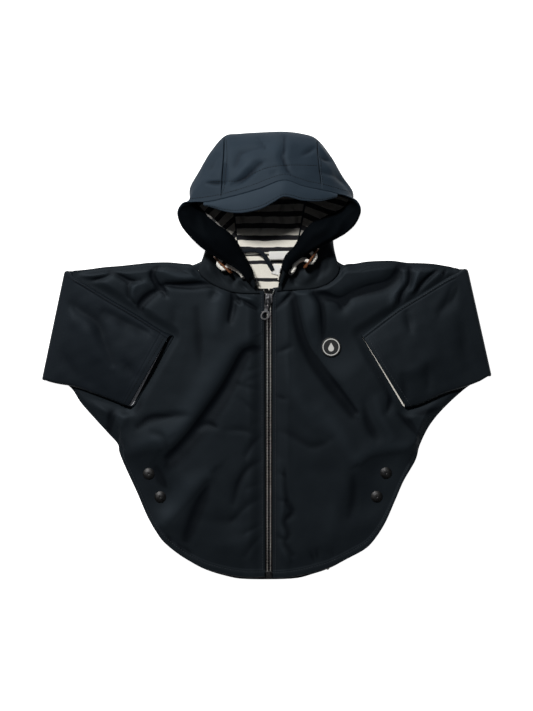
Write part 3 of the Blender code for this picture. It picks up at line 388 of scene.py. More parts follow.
def cotton_rope_finish():
    finish = Finish("cream_cotton_rope")
    across, along_it, _ = finish.split(finish.cloth_place())
    yarn = ((along_it * 2.4 + across * 1.6) * 2.0).wave()
    fuzz = finish.noise(1400.0, 3.0)
    tone = finish.mix(fuzz, (0.84, 0.82, 0.74), (1.0, 0.98, 0.93))
    rough = finish.bump(yarn * 0.5 + fuzz, 0.12)
    return finish.done(Base_Color=tone, Roughness=0.92, Normal=rough, Sheen_Weight=0.25)


def stained_wood_finish():
    finish = Finish("brown_stained_wood")
    rings = finish.noise(420.0, 3.0) * 0.6 + finish.noise(60.0, 1.0) * 0.4
    tone = finish.mix(rings.between(0.35, 0.65), (0.085, 0.028, 0.010), (0.23, 0.085, 0.030))
    return finish.done(Base_Color=tone, Roughness=0.42, Coat_Weight=0.25, Normal=finish.bump(rings, 0.05))


rope_finish, wood_finish = cotton_rope_finish(), stained_wood_finish()
for side in STOPPERS:
    line = along(cord_route(side), CORD_RINGS)
    cord = rope("drawcord_" + side, line, laid_rope, CORD_SIDES, rope_finish)
    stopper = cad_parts["toggle_" + side]
    stopper.data.materials[0] = wood_finish
    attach(cord, "coat")
    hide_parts("cord_" + side)

# ------------------------------------------------------------------------------------------
# Fronts and back: matte polyurethane-coated cloth, cut as a cape with the sleeves in one.
# The side seams end in a notch; the hem is turned up once and stitched all round.
# ------------------------------------------------------------------------------------------
CLOTH = 1.5
SEAM = 0.3
FRONT_UNDER = 3.3
FRONT_TOP = FRONT_UNDER + CLOTH
PUFF = 4.0             # how far the fronts stand off the back away from their seams
ZIP_RISE = 1.3
SIDE_DROP = 1.3
SIDE_DROP_WIDTH = 9.0
HEM_ROWS = 9.5         # rows of a front's table whose foot is on the open hem
SHOULDER_ROWS = 6.0    # rows of a front's table whose top is on the neck seam
HEM_WIDTH = 8.0
HEM_RISE = 0.7
# How far the cloth is held down from an edge, and over what further reach it comes free
ZIP_HOLD, NECK_HOLD, FOOT_HOLD = (5.0, 16.0), (2.0, 10.0), (4.0, 22.0)
ZIP_CREST = (10.0, 14.0)           # and how far out from the zip its own rise lasts
HEM_LOOSE, HEM_REACH = 0.45, 34.0  # an open hem keeps this share of the puff at its edge
SEAM_REACH = 4.0                   # folds run this near to a seam
SEAM_FOLD_SHARE, SEAM_FOLD_LEAST = 0.5, -0.9
FRONT_WAVES = (0.8, 95.0), (0.2, 24.0)  # height and length of the soft waves between the folds
FRONT_ROWS, FRONT_STEPS = 140, 200
FRONT_BLUR = 13                    # a fold's relief is read against this many rows around it
# A front's sections, from the zip to the sleeve fold: top_x, top_y, foot_x, foot_y
LEFT_FRONT = (
    (-3, 80, -2, -275.5), (-14.5, 80.5, -24.5, -276), (-29.5, 81, -50.5, -272.5),
    (-45.5, 84, -79.5, -264), (-67, 93, -105.5, -250), (-85.5, 105.5, -127, -233),
    (-93.5, 113, -138, -218.5), (-106.5, 114.5, -149.5, -198), (-123, 116, -161.5, -170),
    (-145.5, 115.5, -174, -143), (-157, 114.3, -183.2, -121.5), (-164.5, 113.5, -186, -109.5),
    (-183, 111.5, -198, -96), (-202, 110, -214, -78.5), (-220.5, 107.5, -232, -58),
    (-231, 106.3, -245.5, -38.5), (-240.8, 105.5, -268, -28),
)
RIGHT_FRONT = (
    (8, 84, 8, -277.5), (23, 85.5, 32, -275.5), (39.5, 86.5, 58.5, -270),
    (57, 88, 80.5, -263), (76, 94.5, 102.5, -252), (91, 105.5, 122.5, -241),
    (98, 113, 134.5, -229), (111.5, 114.5, 148, -208), (127, 117, 160.5, -180),
    (155, 118, 171.5, -155), (175.5, 115.5, 186, -130), (192, 115, 191.5, -111),
    (208, 114, 203.5, -87), (226.5, 111, 221, -65.5), (233, 109.5, 246.5, -42),
    (239.8, 108, 268.7, -27),
)
# Corners of each folded sleeve where it lies on its front: fold top, cuff top, cuff foot, fold foot
SLEEVE_CORNERS = {
    "left": ((-252, 105.5), (-121, 25.5), (-173, -64.5), (-280.5, -31)),
    "right": ((251, 108), (118.5, 25.5), (174.5, -65.5), (281, -26)),
}
# Flat places on the fronts: x, y, flat_radius, fade
FLATS = (
    (-147, -147.5, 4, 38), (-132.5, -176.5, 4, 38), (149, -146.5, 4, 38),
    (137.5, -176, 4, 38), (80.5, 10.5, 10, 38),
)
# Folds: half_width, rise (a trough's is negative), lean to its left or right, points it runs through
LEFT_FOLDS = (
    (20, 4.2, -0.55, (
        (-22, 22), (-38, 15), (-52, -2), (-64, -24), (-77, -45), (-90, -65), (-104, -85), (-126, -110),
    )),
    (10, -3.6, 0.3, ((-16, 10), (-27, 3), (-39, -19), (-55, -46), (-76, -74), (-98, -103), (-120, -128))),
    (4, -1.6, 0, ((-84, -90.5), (-74, -86.5), (-63, -89))),
    (16, 3.6, -0.6, ((-75.5, -150), (-95.5, -166.5), (-114, -186.5), (-129, -207.5))),
    (8, -1.8, 0, ((-74, -160), (-83, -186.5), (-100.5, -230))),
    (14, 2.6, -0.5, ((-129, -103), (-149, -109), (-170, -120))),
    (6, -2.4, -0.3, ((-160, -89), (-145, -79), (-126.5, -76.5), (-100.5, -74))),
    (5, -1.6, 0, ((-142.5, -96.5), (-129, -101.5), (-122.5, -117.5))),
    (7, -2.2, 0, ((-184, -59), (-192.5, -74), (-197.5, -95.5))),
    (7, 1.6, 0, ((-172.5, -68), (-180, -86.5))),
    (5, -1.5, 0, ((-164, -70.5), (-157.5, -55.5))),
    (6, -3.4, 0, ((-44, 81.5), (-41.5, 65.5), (-45.5, 44))),
    (9, 1.5, 0, ((-55.5, 79), (-60.5, 56.5), (-63, 32))),
    (20, 1.8, 0, ((-68, 63), (-73, 19.5))),
    (7, -1.3, 0, ((-85.5, 56.5), (-83, 19.5), (-80.5, -12))),
    (7, -1.1, 0, ((-114, 56.5), (-120, 32))),
    (5, -5.2, 0, ((-125, 88.5), (-110.5, 87.5), (-95.5, 87.5), (-79.5, 88.5), (-66, 87.5))),
    (7, 2.8, 0, ((-133, 107), (-118, 100), (-104.5, 96.5), (-89.5, 97))),
    (4, -3.8, 0, ((-134.5, 112), (-139.5, 107), (-142, 99.5), (-137, 89.5), (-128, 80.5), (-125.5, 74.5))),
    (6.5, -4.6, 0, ((-133, 82), (-145.5, 74.5), (-157, 62), (-155.5, 49.5))),
    (5, 2.0, 0, ((-151, 90), (-160, 89), (-166.5, 81), (-168, 70))),
    (3, -2.4, 0, ((-172, 88), (-171.5, 74), (-164.5, 64.5))),
    (5, -3.2, 0, ((-196, 105.5), (-183, 99.5), (-170.5, 93), (-158, 92))),
    (1.3, -0.9, 0, ((-124.5, 113), (-108, 107), (-95.5, 102))),
    (3, -3.2, 0, ((-42, 79.5), (-38, 72), (-33, 65.5))),
    (3.5, -2.8, 0, ((-32, 70.5), (-23, 64.5), (-12, 58))),
    (4, 1.5, 0, ((-25.5, 74.5), (-10.5, 65.5))),
    (5, -2.2, 0, ((-62, 82), (-68, 72))),
    (5, -1.8, 0, ((-137.5, -142.5), (-131.5, -155), (-122.5, -166.5))),
    (5, -3.8, 0, ((-238.5, 104), (-234, 96.5), (-223, 92.5), (-207, 96), (-196, 100))),
    (3.5, -0.7, 0, ((-5.5, 8), (-20.5, 4.5))),
    (3.5, -0.7, 0, ((-5.5, -13), (-22, -19.5))),
    (3.5, -0.7, 0, ((-5.5, -25.5), (-25.5, -33))),
    (4, -0.9, 0, ((-5.5, -43), (-20.5, -40.5), (-35.5, -35.5))),
    (4.5, -0.9, 0, ((-5.5, -73), (-20.5, -65.5), (-35.5, -53))),
    (3.5, -0.7, 0, ((-5.5, -81.5), (-18, -86.5))),
    (4.5, -1.1, 0, ((-14.5, -98), (-29.5, -93), (-49, -93))),
    (5, -1.4, 0.2, ((-5.5, -99), (-18, -110.5), (-25.5, -125))),
    (6, -1.7, 0.2, ((-5.5, -129), (-22, -139), (-34.5, -157.5), (-41.5, -185))),
    (3.5, -0.7, 0, ((-5.5, -159), (-25.5, -166.5))),
    (4.5, -1.0, 0, ((-5.5, -176.5), (-24.5, -187.5), (-43, -205))),
    (3.5, -0.8, 0, ((-7, -210), (-28, -222.5))),
    (4.5, -1.1, 0, ((-5.5, -223.5), (-18, -236), (-27, -250))),
    (12, -1.2, 0, ((-64, -205), (-39, -205))),
    (14, 1.2, 0, ((-51.5, -236), (-20.5, -230))),
    (3, -1.1, 0, ((-124, -225), (-117.5, -236))),
    (3, -1.1, 0, ((-110.5, -236), (-103, -246))),
    (3, -1, 0, ((-100.5, -241), (-93, -250))),
)
RIGHT_FOLDS = (
    (9, -4.0, -0.3, ((34, 74), (37, 58), (41, 38), (48, 17), (59, -4), (77, -29), (95, -52), (109, -71))),
    (4, -2.6, 0, ((12, 59), (22, 68), (31, 78))),
    (12, 3.2, -0.55, ((49, 84), (56.5, 69), (60.5, 44), (61.5, 17))),
    (6.5, -3.4, 0, ((57, 76), (67, 63), (69.5, 38), (67, 13))),
    (6, -0.8, 0.2, ((13, -93), (29.5, -98), (43, -106.5), (56.5, -113), (69, -110.5), (81.5, -104))),
    (6, 1.8, -0.5, (
        (15.5, -132.5), (17, -161.5), (19.5, -186.5), (17, -211), (20.5, -223.5), (18, -238.5), (27, -255),
    )),
    (5, -1.3, 0, (
        (22, -142.5), (24.5, -180), (32, -195), (22, -207.5), (27, -223.5), (22, -233.5), (33, -248.5),
    )),
    (7, -1.5, 0, ((121.5, -60.5), (126.5, -83), (137.5, -105.5))),
    (6, -2, 0, ((149, -35.5), (155, -53), (150, -70.5))),
    (8, 1.4, 0, ((137.5, -55.5), (145, -80.5), (156.5, -100.5))),
    (10, 2.6, -0.5, ((175, -113), (151.5, -116.5), (129, -122.5), (116.5, -131.5))),
    (8, -1.2, 0, ((108, -152.5), (108, -174), (103, -201))),
    (11, -5.4, 0, ((167, 110), (160.5, 98), (148, 88), (123, 81.5), (102, 73), (94.5, 60))),
    (7, -3.6, 0, ((60, 78), (78, 73), (98, 67))),
    (4, 2.6, 0, ((172, 104), (172, 89), (162, 78), (158, 67), (157, 51))),
    (5, -4.2, 0, ((179.5, 109), (178, 92), (171, 82), (167, 70), (163, 60))),
    (3.5, 2.4, 0, ((190.5, 104), (185.5, 92), (182, 80))),
    (4.5, -4.4, 0, ((212, 105.5), (202, 97), (193, 87), (185.5, 75))),
    (3.5, -3.0, 0, ((223, 107), (220.5, 99))),
    (1.3, -0.8, 0, ((118, 104.5), (135.5, 109.5), (160.5, 115.5))),
    (4, -1.3, 0, ((14.5, 4.5), (29.5, 10.5))),
    (3.5, -1, 0, ((13, -50.5), (24.5, -54))),
    (3.5, -1, 0, ((13, -145), (22, -150))),
    (3.5, -0.9, 0, ((13, -180), (24.5, -182.5))),
    (4, -1.2, 0, ((13, -225), (20.5, -230))),
    (16, 2.4, 0, ((23, -12), (41.5, -55.5), (60.5, -86.5))),
    (15, 2.4, 0, ((69, -70.5), (94, -103), (106.5, -125))),
    (14, -0.6, 0, ((54, -142.5), (85.5, -140))),
    (14, 1.2, 0, ((85.5, -180), (79, -230))),
    (6, -2.2, 0, ((181.5, -68), (197.5, -70.5), (213.5, -65.5))),
    (5, -2, 0, ((166.5, -73), (179, -85.5), (190, -100.5))),
    (3, -1.1, 0, ((55.5, -246), (59, -257.5))),
    (3, -1, 0, ((63, -242.5), (64, -255))),
    (3, -0.9, 0, ((81.5, -242.5), (83, -252.5))),
)


def ease(value):
    value = np.clip(value, 0.0, 1.0)
    return value * value * (3.0 - 2.0 * value)


def fold_height(x, y, half_width, rise, lean, points):
    """Height a fold adds at x, y: steeper on the side it leans to, thinning out to its ends."""
    line = along(points, 4 * len(points))
    run = run_of(line)
    nearest = np.full(x.shape, 1e18)
    off = np.zeros(x.shape)
    at = np.zeros(x.shape)
    for k in range(len(line) - 1):
        ax, ay = line[k]
        ux, uy = line[k + 1] - line[k]
        length = math.hypot(ux, uy)
        t = np.clip(((x - ax) * ux + (y - ay) * uy) / length**2, 0.0, 1.0)
        dx, dy = x - ax - ux * t, y - ay - uy * t
        distance = dx * dx + dy * dy
        better = distance < nearest
        nearest = np.where(better, distance, nearest)
        off = np.where(better, np.sign(dy * ux - dx * uy), off)
        at = np.where(better, run[k] + length * t, at)
    share = at / run[-1]
    body = 0.45 + 0.55 * np.sin(math.pi * np.clip(0.08 + 0.84 * share, 0.0, 1.0))
    width = half_width * (0.6 + 0.4 * body) * (1.0 + lean * np.tanh(off * np.sqrt(nearest) / half_width))
    reach = nearest / width**2
    return rise * body * (0.6 * np.exp(-reach) + 0.4 / (1.0 + reach) ** 2)


def folds_height(x, y, folds):
    total = np.zeros(x.shape)
    for half_width, rise, lean, points in folds:
        total = total + fold_height(x, y, half_width, rise, lean, points)
    return total


def ripple(x, y, size, seed, count=9):
    """Soft uneven waves about a millimetre high in all; size is their usual length."""
    draw = np.random.default_rng(seed)
    total = np.zeros(np.shape(x))
    for _ in range(count):
        turn, start = draw.uniform(0.0, 2.0 * math.pi, 2)
        length = size * draw.uniform(0.65, 1.6)
        total += np.sin((x * math.cos(turn) + y * math.sin(turn)) * 2.0 * math.pi / length + start)
    return total / count * 1.4


def waves(x, y, sizes, seed):
    """Ripples of several sizes, each a height and a length, one on another."""
    return sum(height * ripple(x, y, length, seed + k) for k, (height, length) in enumerate(sizes))


def freed(distance, hold):
    """0 where cloth is held down beside a seam, rising to 1 where it is free."""
    flat, reach = hold
    return ease((distance - flat) / reach)


COVER_CLEAR, COVER_RAMP = 2.0, 13.0


def sleeve_cover(x, y):
    """0 under a folded sleeve, rising to 1 a little way outside it."""
    clear = np.ones_like(x)
    for name, side in (("left", -1.0), ("right", 1.0)):
        corners = SLEEVE_CORNERS[name]
        outside = np.zeros_like(x)
        for (ax, ay), (bx, by) in zip(corners, corners[1:]):
            length = math.hypot(bx - ax, by - ay)
            off = side * ((x - ax) * (by - ay) - (y - ay) * (bx - ax)) / length
            outside += np.maximum(off, 0.0) ** 2
        clear = np.minimum(clear, ease((np.sqrt(outside) - COVER_CLEAR) / COVER_RAMP))
    return clear


def graded(count, crowding):
    """Shares from 0 to 1, closer together at both ends."""
    t = np.linspace(0.0, 1.0, count)
    return t - crowding * np.sin(2.0 * math.pi * t) / (2.0 * math.pi)


def hem_height(distance, width, rise, pressed=0.45):
    """A turned-up hem's step, with its stitched line pressed in."""
    step = rise * (1.0 - ease((distance - width) / 1.5))
    return step - pressed * np.exp(-((distance - width + 1.2) / 1.0) ** 2)


def blurred(field, reach):
    """A grid's values, each the mean of those up to reach rows and columns away."""
    weights = np.full(2 * reach + 1, 1.0 / (2 * reach + 1))
    for axis in (0, 1):
        margins = [(reach, reach) if axis == side else (0, 0) for side in (0, 1)]
        field = np.apply_along_axis(np.convolve, axis, np.pad(field, margins, mode="edge"), weights, "valid")
    return field


def shell(name, outer, inner, material, spread=None, around=False, rim=0.35, relief=None):
    """A closed cloth wall between two like grids of points, its raw edges rounded."""
    outer, inner = np.asarray(outer, float), np.asarray(inner, float)
    rows, columns = outer.shape[:2]
    size = rows * columns
    faces = grid_faces(rows, columns, around)
    faces += [tuple(reversed(f)) for f in grid_faces(rows, columns, around, size)]
    numbers = np.arange(size).reshape(rows, columns)
    deeper = np.arange(size).reshape(rows, columns)
    if around:
        loops = [(numbers[0], deeper[1]), (numbers[-1][::-1], deeper[-2][::-1])]
    else:
        loop = np.concatenate([numbers[0], numbers[1:, -1], numbers[-1, -2::-1], numbers[-2:0:-1, 0]])
        within = np.concatenate([deeper[1], deeper[1:, -2], deeper[-2, -2::-1], deeper[-2:0:-1, 1]])
        loops = [(loop, within)]
    flat_outer, flat_inner = outer.reshape(-1, 3), inner.reshape(-1, 3)
    points = [flat_outer, flat_inner]
    spreads = [] if spread is None else [np.asarray(spread, float).reshape(-1, 2)] * 2
    reliefs = [np.zeros(size) if relief is None else np.asarray(relief, float).reshape(-1)] * 2
    first = 2 * size
    for loop, within in loops:
        middle = (flat_outer[loop] + flat_inner[loop]) / 2.0
        out = middle - (flat_outer[within] + flat_inner[within]) / 2.0
        out /= np.maximum(np.linalg.norm(out, axis=1, keepdims=True), 1e-9)
        thick = np.linalg.norm(flat_outer[loop] - flat_inner[loop], axis=1, keepdims=True)
        points.append(middle + out * thick * rim)
        if spread is not None:
            spreads.append(spreads[0][loop])
        reliefs.append(reliefs[0][loop])
        count = len(loop)
        a = np.arange(count)
        b = (a + 1) % count
        faces += np.stack([loop[b], loop[a], first + a, first + b], axis=1).tolist()
        faces += np.stack([first + b, first + a, loop[a] + size, loop[b] + size], axis=1).tolist()
        first += count
    points, reliefs = np.concatenate(points), np.concatenate(reliefs)
    spread = None if spread is None else np.concatenate(spreads)
    return add_piece(name, points, outward(points, faces), material, spread, reliefs)


PATCHES, CRINKLES, PEBBLES = 26.0, 150.0, 2300.0  # how many to a metre
CREASE_SHARES = 0.12, 0.16, 0.24   # painted shade: how much of the cloth's colour a deep crease keeps
HIGHLIGHT_GAIN, UNSHADED_GAIN = 1.8, 1.4   # painted highlight: how much paler a crest is painted than the cloth's light colour, and than its unshaded colour


def coated_cloth_finish(name, dark, light, roughness, unshaded=None, shine=0.14):
    """Coated cloth: a matte skin with a fine pebble, with painted shade in its creases and painted highlight
    on their crests.

    unshaded is the cloth's own paler colour, and the lengths along the coat between which it comes in; below
    them the darker colours are painted shade.
    """
    finish = Finish(name)
    patches = finish.noise(PATCHES, 3.0)
    pebble = finish.noise(PEBBLES, 2.0)
    crinkle = finish.noise(CRINKLES, 4.0, roughness=0.6)
    tone = finish.mix((patches * 0.6 + pebble * 0.4).between(0.3, 0.7), dark, light)
    painted_highlight = tuple(HIGHLIGHT_GAIN * part for part in light)
    # Painted shade: below the given lengths the cloth keeps the darker colours, and above them its own paler
    # colour comes in.
    if unshaded:
        paler, low, high = unshaded
        up = finish.split(finish.place())[1]
        upper = (up + patches * 0.012).between(low * MM, high * MM)
        tone = finish.mix(upper, tone, paler)
        painted_highlight = finish.mix(upper, painted_highlight, tuple(UNSHADED_GAIN * part for part in paler))
    # Painted highlight on the crests and painted shade in the creases, from how far the cloth stands above
    # the cloth round it.
    relief = finish.relief()
    tone = finish.mix(relief.between(0.1, 2.4) * 0.55, tone, painted_highlight)
    shade = tuple(part * share for part, share in zip(dark, CREASE_SHARES))
    tone = finish.mix((relief * -1.0).between(0.1, 1.6) * 0.95, tone, shade)
    rough = patches * 0.10 + pebble * 0.06 + (roughness - 0.08)
    bumps = finish.bump(pebble, 0.04, 0.5, under=finish.bump(crinkle, 0.30, 0.4))
    return finish.done(
        Base_Color=tone, Roughness=rough, Specular_IOR_Level=shine,
        Specular_Tint=(0.72, 0.86, 1.0), Normal=bumps,
    )


def tops_and_feet(table, at):
    """The ends of a table's sections at fractional row numbers."""
    marks = spline(table, at)
    return marks[:, None, :2], marks[:, None, 2:4]


def front_grid(table, folds, rows, steps, seed):
    """Upper points of a front, their distances from its zip, top and foot, their rows and relief."""
    at = graded(rows, 0.35) * (len(table) - 1.0)
    tops, feet = tops_and_feet(table, at)
    plan = tops + (feet - tops) * graded(steps, 0.45)[None, :, None]
    row = at[:, None] * np.ones((1, steps))
    x, y = plan[..., 0], plan[..., 1]
    from_top = np.linalg.norm(plan - plan[:, :1], axis=2)
    from_foot = np.linalg.norm(plan - plan[:, -1:], axis=2)
    from_zip = np.abs(x - plan[:1, :, 0])
    open_hem = row < HEM_ROWS
    hem_puff = HEM_LOOSE + (1.0 - HEM_LOOSE) * ease(from_foot / HEM_REACH)
    hold = freed(from_zip, ZIP_HOLD) * freed(from_top, NECK_HOLD)
    hold = hold * np.where(open_hem, hem_puff, freed(from_foot, FOOT_HOLD))
    for px, py, radius, fade in FLATS:
        hold = hold * ease((np.hypot(x - px, y - py) - radius) / fade)
    cover = sleeve_cover(x, y)
    hold = hold * cover
    near_seam = (1.0 - freed(from_zip, ZIP_HOLD)) * cover
    for distance in (from_zip, from_top, from_foot):
        near_seam = near_seam * ease(distance / SEAM_REACH)
    soft = folds_height(x, y, folds)
    lift = np.maximum(PUFF + soft + waves(x, y, FRONT_WAVES, seed), 0.1)
    z = FRONT_TOP + lift * hold + np.maximum(SEAM_FOLD_SHARE * soft * near_seam, SEAM_FOLD_LEAST)
    z = z + ZIP_RISE * (1.0 - freed(from_zip, ZIP_CREST))
    ends = ease((len(table) - 1.0 - row) / 1.2)
    closed_top, closed_foot = ease(row - SHOULDER_ROWS), ease(row - HEM_ROWS)
    z = z - SIDE_DROP * closed_top * ends * (1.0 - ease(from_top / SIDE_DROP_WIDTH))
    z = z - SIDE_DROP * closed_foot * ends * (1.0 - ease(from_foot / SIDE_DROP_WIDTH))
    z = z + hem_height(from_foot, HEM_WIDTH, HEM_RISE) * (1.0 - closed_foot)
    relief = (soft - blurred(soft, FRONT_BLUR)) * cover * ease(from_top / 3.0) * ease(from_zip / 3.0)
    return np.dstack([plan, z]), from_zip, from_top, from_foot, row, relief


navy_cloth = coated_cloth_finish("navy_coated_cloth", (0.0056, 0.0079, 0.0104), (0.0084, 0.0114, 0.0146), 0.6)
front_grids = {}
for side, table, folds, seed in (
    ("left", LEFT_FRONT, LEFT_FOLDS, 11), ("right", RIGHT_FRONT, RIGHT_FOLDS, 23),
):
    grid = front_grid(table, folds, FRONT_ROWS, FRONT_STEPS, seed)
    front_grids[side] = grid
    top = grid[0]
    front = shell(
        "cape_front_" + side, top, top - (0.0, 0.0, CLOTH), navy_cloth, top[..., :2], relief=grid[-1]
    )
    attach(front, "coat")
    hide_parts("front_" + side)

# The back's neck edge, from one shoulder to the other: x, y
BACK_NECK = (
    (-93.5, 112.5), (-79.5, 117.8), (-62, 123.2), (-42, 125.5), (-24, 126.4), (-8, 126.7),
    (8, 126.7), (24, 126.7), (44, 126), (66, 123.8), (85, 118.8), (98, 112.5),
)
BACK_HEM_DROP, BACK_HEM_HALF = 3.0, 110.0  # the back's hem hangs this far lower, over this half width


def back_table():
    """The back's sections, from the left sleeve fold to the right one."""
    left = [list(row) for row in reversed(LEFT_FRONT)][:-1]
    right = [list(row) for row in RIGHT_FRONT][1:]
    half = len(BACK_NECK) // 2
    for row, place in zip(left[-half:] + right[:half], BACK_NECK):
        row[0:2] = place
    for row in left + right:
        row[3] -= BACK_HEM_DROP * max(0.0, 1.0 - (abs(row[2]) / BACK_HEM_HALF) ** 2)
    return left + right


def flat_plan(table, rows, steps):
    tops, feet = tops_and_feet(table, np.linspace(0.0, len(table) - 1.0, rows))
    return tops + (feet - tops) * graded(steps, 0.45)[None, :, None]


back_plan = flat_plan(back_table(), 170, 60)
back = shell(
    "cape_back", np.dstack([back_plan, np.full(back_plan.shape[:2], CLOTH)]),
    np.dstack([back_plan, np.zeros(back_plan.shape[:2])]), navy_cloth, back_plan,
)
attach(back, "coat")
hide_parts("back")

# ------------------------------------------------------------------------------------------
# Body lining: cream jersey knitted with navy bands, seen only in the neck.
# Its bands run across the coat; it is caught at the neck seam and hangs free to the hem.
# ------------------------------------------------------------------------------------------
LINING = 1.0
LINING_UNDER = CLOTH + 0.4
LINING_INSET = 11.0
LINING_NECK = 1.9
NECK_ROWS = (8.9, 17.1)        # between these rows it reaches up to the neck seam
# It has slipped down past the hem to the right of the zip: how far, where, over what half width
LINING_DROP, LINING_DROP_X, LINING_DROP_HALF = 12.6, 77.0, 7.0
STRIPE_PITCH = 15.0
STRIPE_SHARE = 0.37            # the navy share of each band
STRIPE_DRIFT = 4.4             # a band wanders this much along its length
STRIPE_EDGE = 0.012
HOOD_SHADE = (0.146, 0.158)    # painted shade: metres up the coat over which the cream turns dark, where the lining goes back under the hood
COURSE, WALE = 1.1, 1.25       # the knit's loops, along and across


def striped_jersey_finish(name, offset, pitch=STRIPE_PITCH, share=STRIPE_SHARE):
    """Cream jersey with navy bands and the small leaning loops of its knit, its cream painted darker in shade
    under the hood and in its pleats.
    """
    finish = Finish(name)
    across, along_it, _ = finish.split(finish.cloth_place())
    drift = finish.noise(34.0, 2.0) * STRIPE_DRIFT - STRIPE_DRIFT / 2.0
    band = ((along_it + drift + offset) / pitch).part()
    navy = band.between(0.0, STRIPE_EDGE) * (1.0 - band.between(share, share + STRIPE_EDGE))
    fuzz = finish.noise(900.0, 3.0)
    up = finish.split(finish.place())[1]
    relief = finish.relief()
    # Painted shade: up the coat, under the hood's crown, the cream turns to a dark grey.
    cream = finish.mix(
        up.between(*HOOD_SHADE), finish.mix(fuzz, (0.76, 0.73, 0.64), (0.96, 0.93, 0.85)),
        finish.mix(fuzz, (0.19, 0.18, 0.17), (0.27, 0.26, 0.245)),
    )
    dark = finish.mix(fuzz, (0.002, 0.0025, 0.005), (0.005, 0.006, 0.010))
    # Painted shade in the pleats.
    cream = finish.mix((relief * -1.0).between(0.1, 1.4) * 0.6, cream, (0.08, 0.075, 0.07))
    column = abs((across / WALE).part() - 0.5)
    loops = ((along_it / COURSE + column).part() * math.pi).wave()
    knit = finish.bump(loops + fuzz * 0.5, 0.18)
    tone = finish.mix(navy, cream, dark)
    return finish.done(Base_Color=tone, Roughness=0.95, Normal=knit, Sheen_Weight=0.2)


body_jersey = striped_jersey_finish("striped_jersey_body", 17.3, 21.9, 0.2)


def lining_plan(rows, steps):
    table = back_table()[3:-3]
    at = np.linspace(0.0, len(table) - 1.0, rows)
    tops, feet = tops_and_feet(table, at)
    length = np.linalg.norm(feet - tops, axis=2, keepdims=True)
    start = np.full_like(length, LINING_INSET)
    start[(at > NECK_ROWS[0]) & (at < NECK_ROWS[1])] = LINING_NECK
    share = graded(steps, 0.3)[None, :, None]
    slip = np.exp(-(((feet[..., :1] - LINING_DROP_X) / LINING_DROP_HALF) ** 2))
    dropped_foot = LINING_INSET - LINING_DROP * slip
    return tops + (feet - tops) * (start + (length - dropped_foot - start) * share) / length


plan = lining_plan(150, 110)
sag = 0.25 * ripple(plan[..., 0], plan[..., 1], 26.0, 5)
height = LINING_UNDER + LINING + np.maximum(sag, 0.0)
lining = shell(
    "body_lining_jersey", np.dstack([plan, height]), np.dstack([plan, np.full_like(height, LINING_UNDER)]),
    body_jersey, plan,
)
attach(lining, "coat")
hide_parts("body_lining")

# ------------------------------------------------------------------------------------------
# Sleeve ends: flattened tubes of the same coated cloth, folded in over the fronts.
# Each turns over at the outer fold; a cream cotton lining shows in the open cuff.
# ------------------------------------------------------------------------------------------
FOLD_INSET = 5.0
FOLD_INNER = 0.2
FOLD_OUTER = 3.5
BEND_Z = FRONT_TOP + 0.2
BEND_LEAD = 0.9
PUFF_POWER = 0.8
# How far a cuff's lower layer and its lining show past the upper layer, at its top and at its foot
LOWER_REACHES = {"left": (6.4, 7.4), "right": (0.4, 1.8)}
LINING_REACHES = {"left": (-1.0, 4.8), "right": (0.1, 2.5)}
# A sleeve's rings past the fold, to the cuff: top_x, top_y, foot_x, foot_y, puff of the upper layer
SLEEVES = {
    "left": (
        (-252, 105.5, -280.5, -31, 0), (-240, 97.5, -270, -33, 1),
        (-226, 89.5, -259.5, -35.5, 3), (-195.5, 71, -237.5, -39.5, 4.5),
        (-166.5, 54, -212, -48.5, 5), (-139.5, 37, -188.5, -57.5, 6),
        (-121, 25.5, -173, -64.5, 6.5),
    ),
    "right": (
        (251, 108, 281, -26, 0), (238, 103, 266, -32, 1),
        (223, 95.5, 250.5, -38, 3), (194, 78, 223.5, -46.5, 4.5),
        (165, 60.5, 206, -54.5, 5.5), (137.5, 40, 190, -61.5, 6.5),
        (118.5, 25.5, 174.5, -65.5, 7),
    ),
}
SLEEVE_FOLDS = {
    "left": (
        (9, -2.6, 0.3, ((-253.5, 72), (-232, 56), (-211, 40.5), (-201, 16), (-191, -9))),
        (14, 1.8, 0, ((-246, 48), (-224, 28), (-212, 0))),
        (8, -2.2, -0.2, ((-201, 54), (-176, 40.5), (-149, 28))),
        (9, -1.6, 0, ((-176, -10), (-166, -24))),
        (10, -1.4, 0, ((-262, 10), (-246, -10), (-236, -24))),
    ),
    "right": (
        (8, -2.6, 0.3, ((241, 91.5), (229, 72), (216, 54))),
        (6, -2, 0, ((175, 53), (179, 31.5))),
        (12, 2, 0, ((169, -22), (190, -14), (210, -2))),
        (7, -2, 0, ((170, -27), (173, -52))),
        (7, -1.8, 0, ((200, -14), (201, -39))),
        (12, -1.6, 0, ((250, 50), (246, 20), (254, -8))),
    ),
}
BEND_RINGS = 17
SLEEVE_RINGS = 96
LINED_SHARE = 0.30     # the lining reaches this share of the way back from the cuff
EDGE_ROUND = 3.4       # how far in from its edges the flattened tube is round
SLEEVE_SEAM = 4.8      # the seam along its top is pressed and stitched this far in
SEAM_BAND, SEAM_DIP = 0.45, 0.6
SLEEVE_WAVES = (0.7, 60.0), (0.3, 21.0)
EDGE_REACH = 12.0      # folds die out this near to the tube's edges
REACH_FADE = 9.0       # the layers' different lengths show only this near to the cuff
CUFF_HEM = (10.5, 0.15, 0.2)  # width, rise and depth of its stitched line
LOWER_STEPS, UPPER_STEPS = 34, 96
RING_CROWDING = 1.25   # rings lie closer together towards the cuff
SLEEVE_SHADE = 0.4     # how much of the folds' height is painted on them as shade and highlight


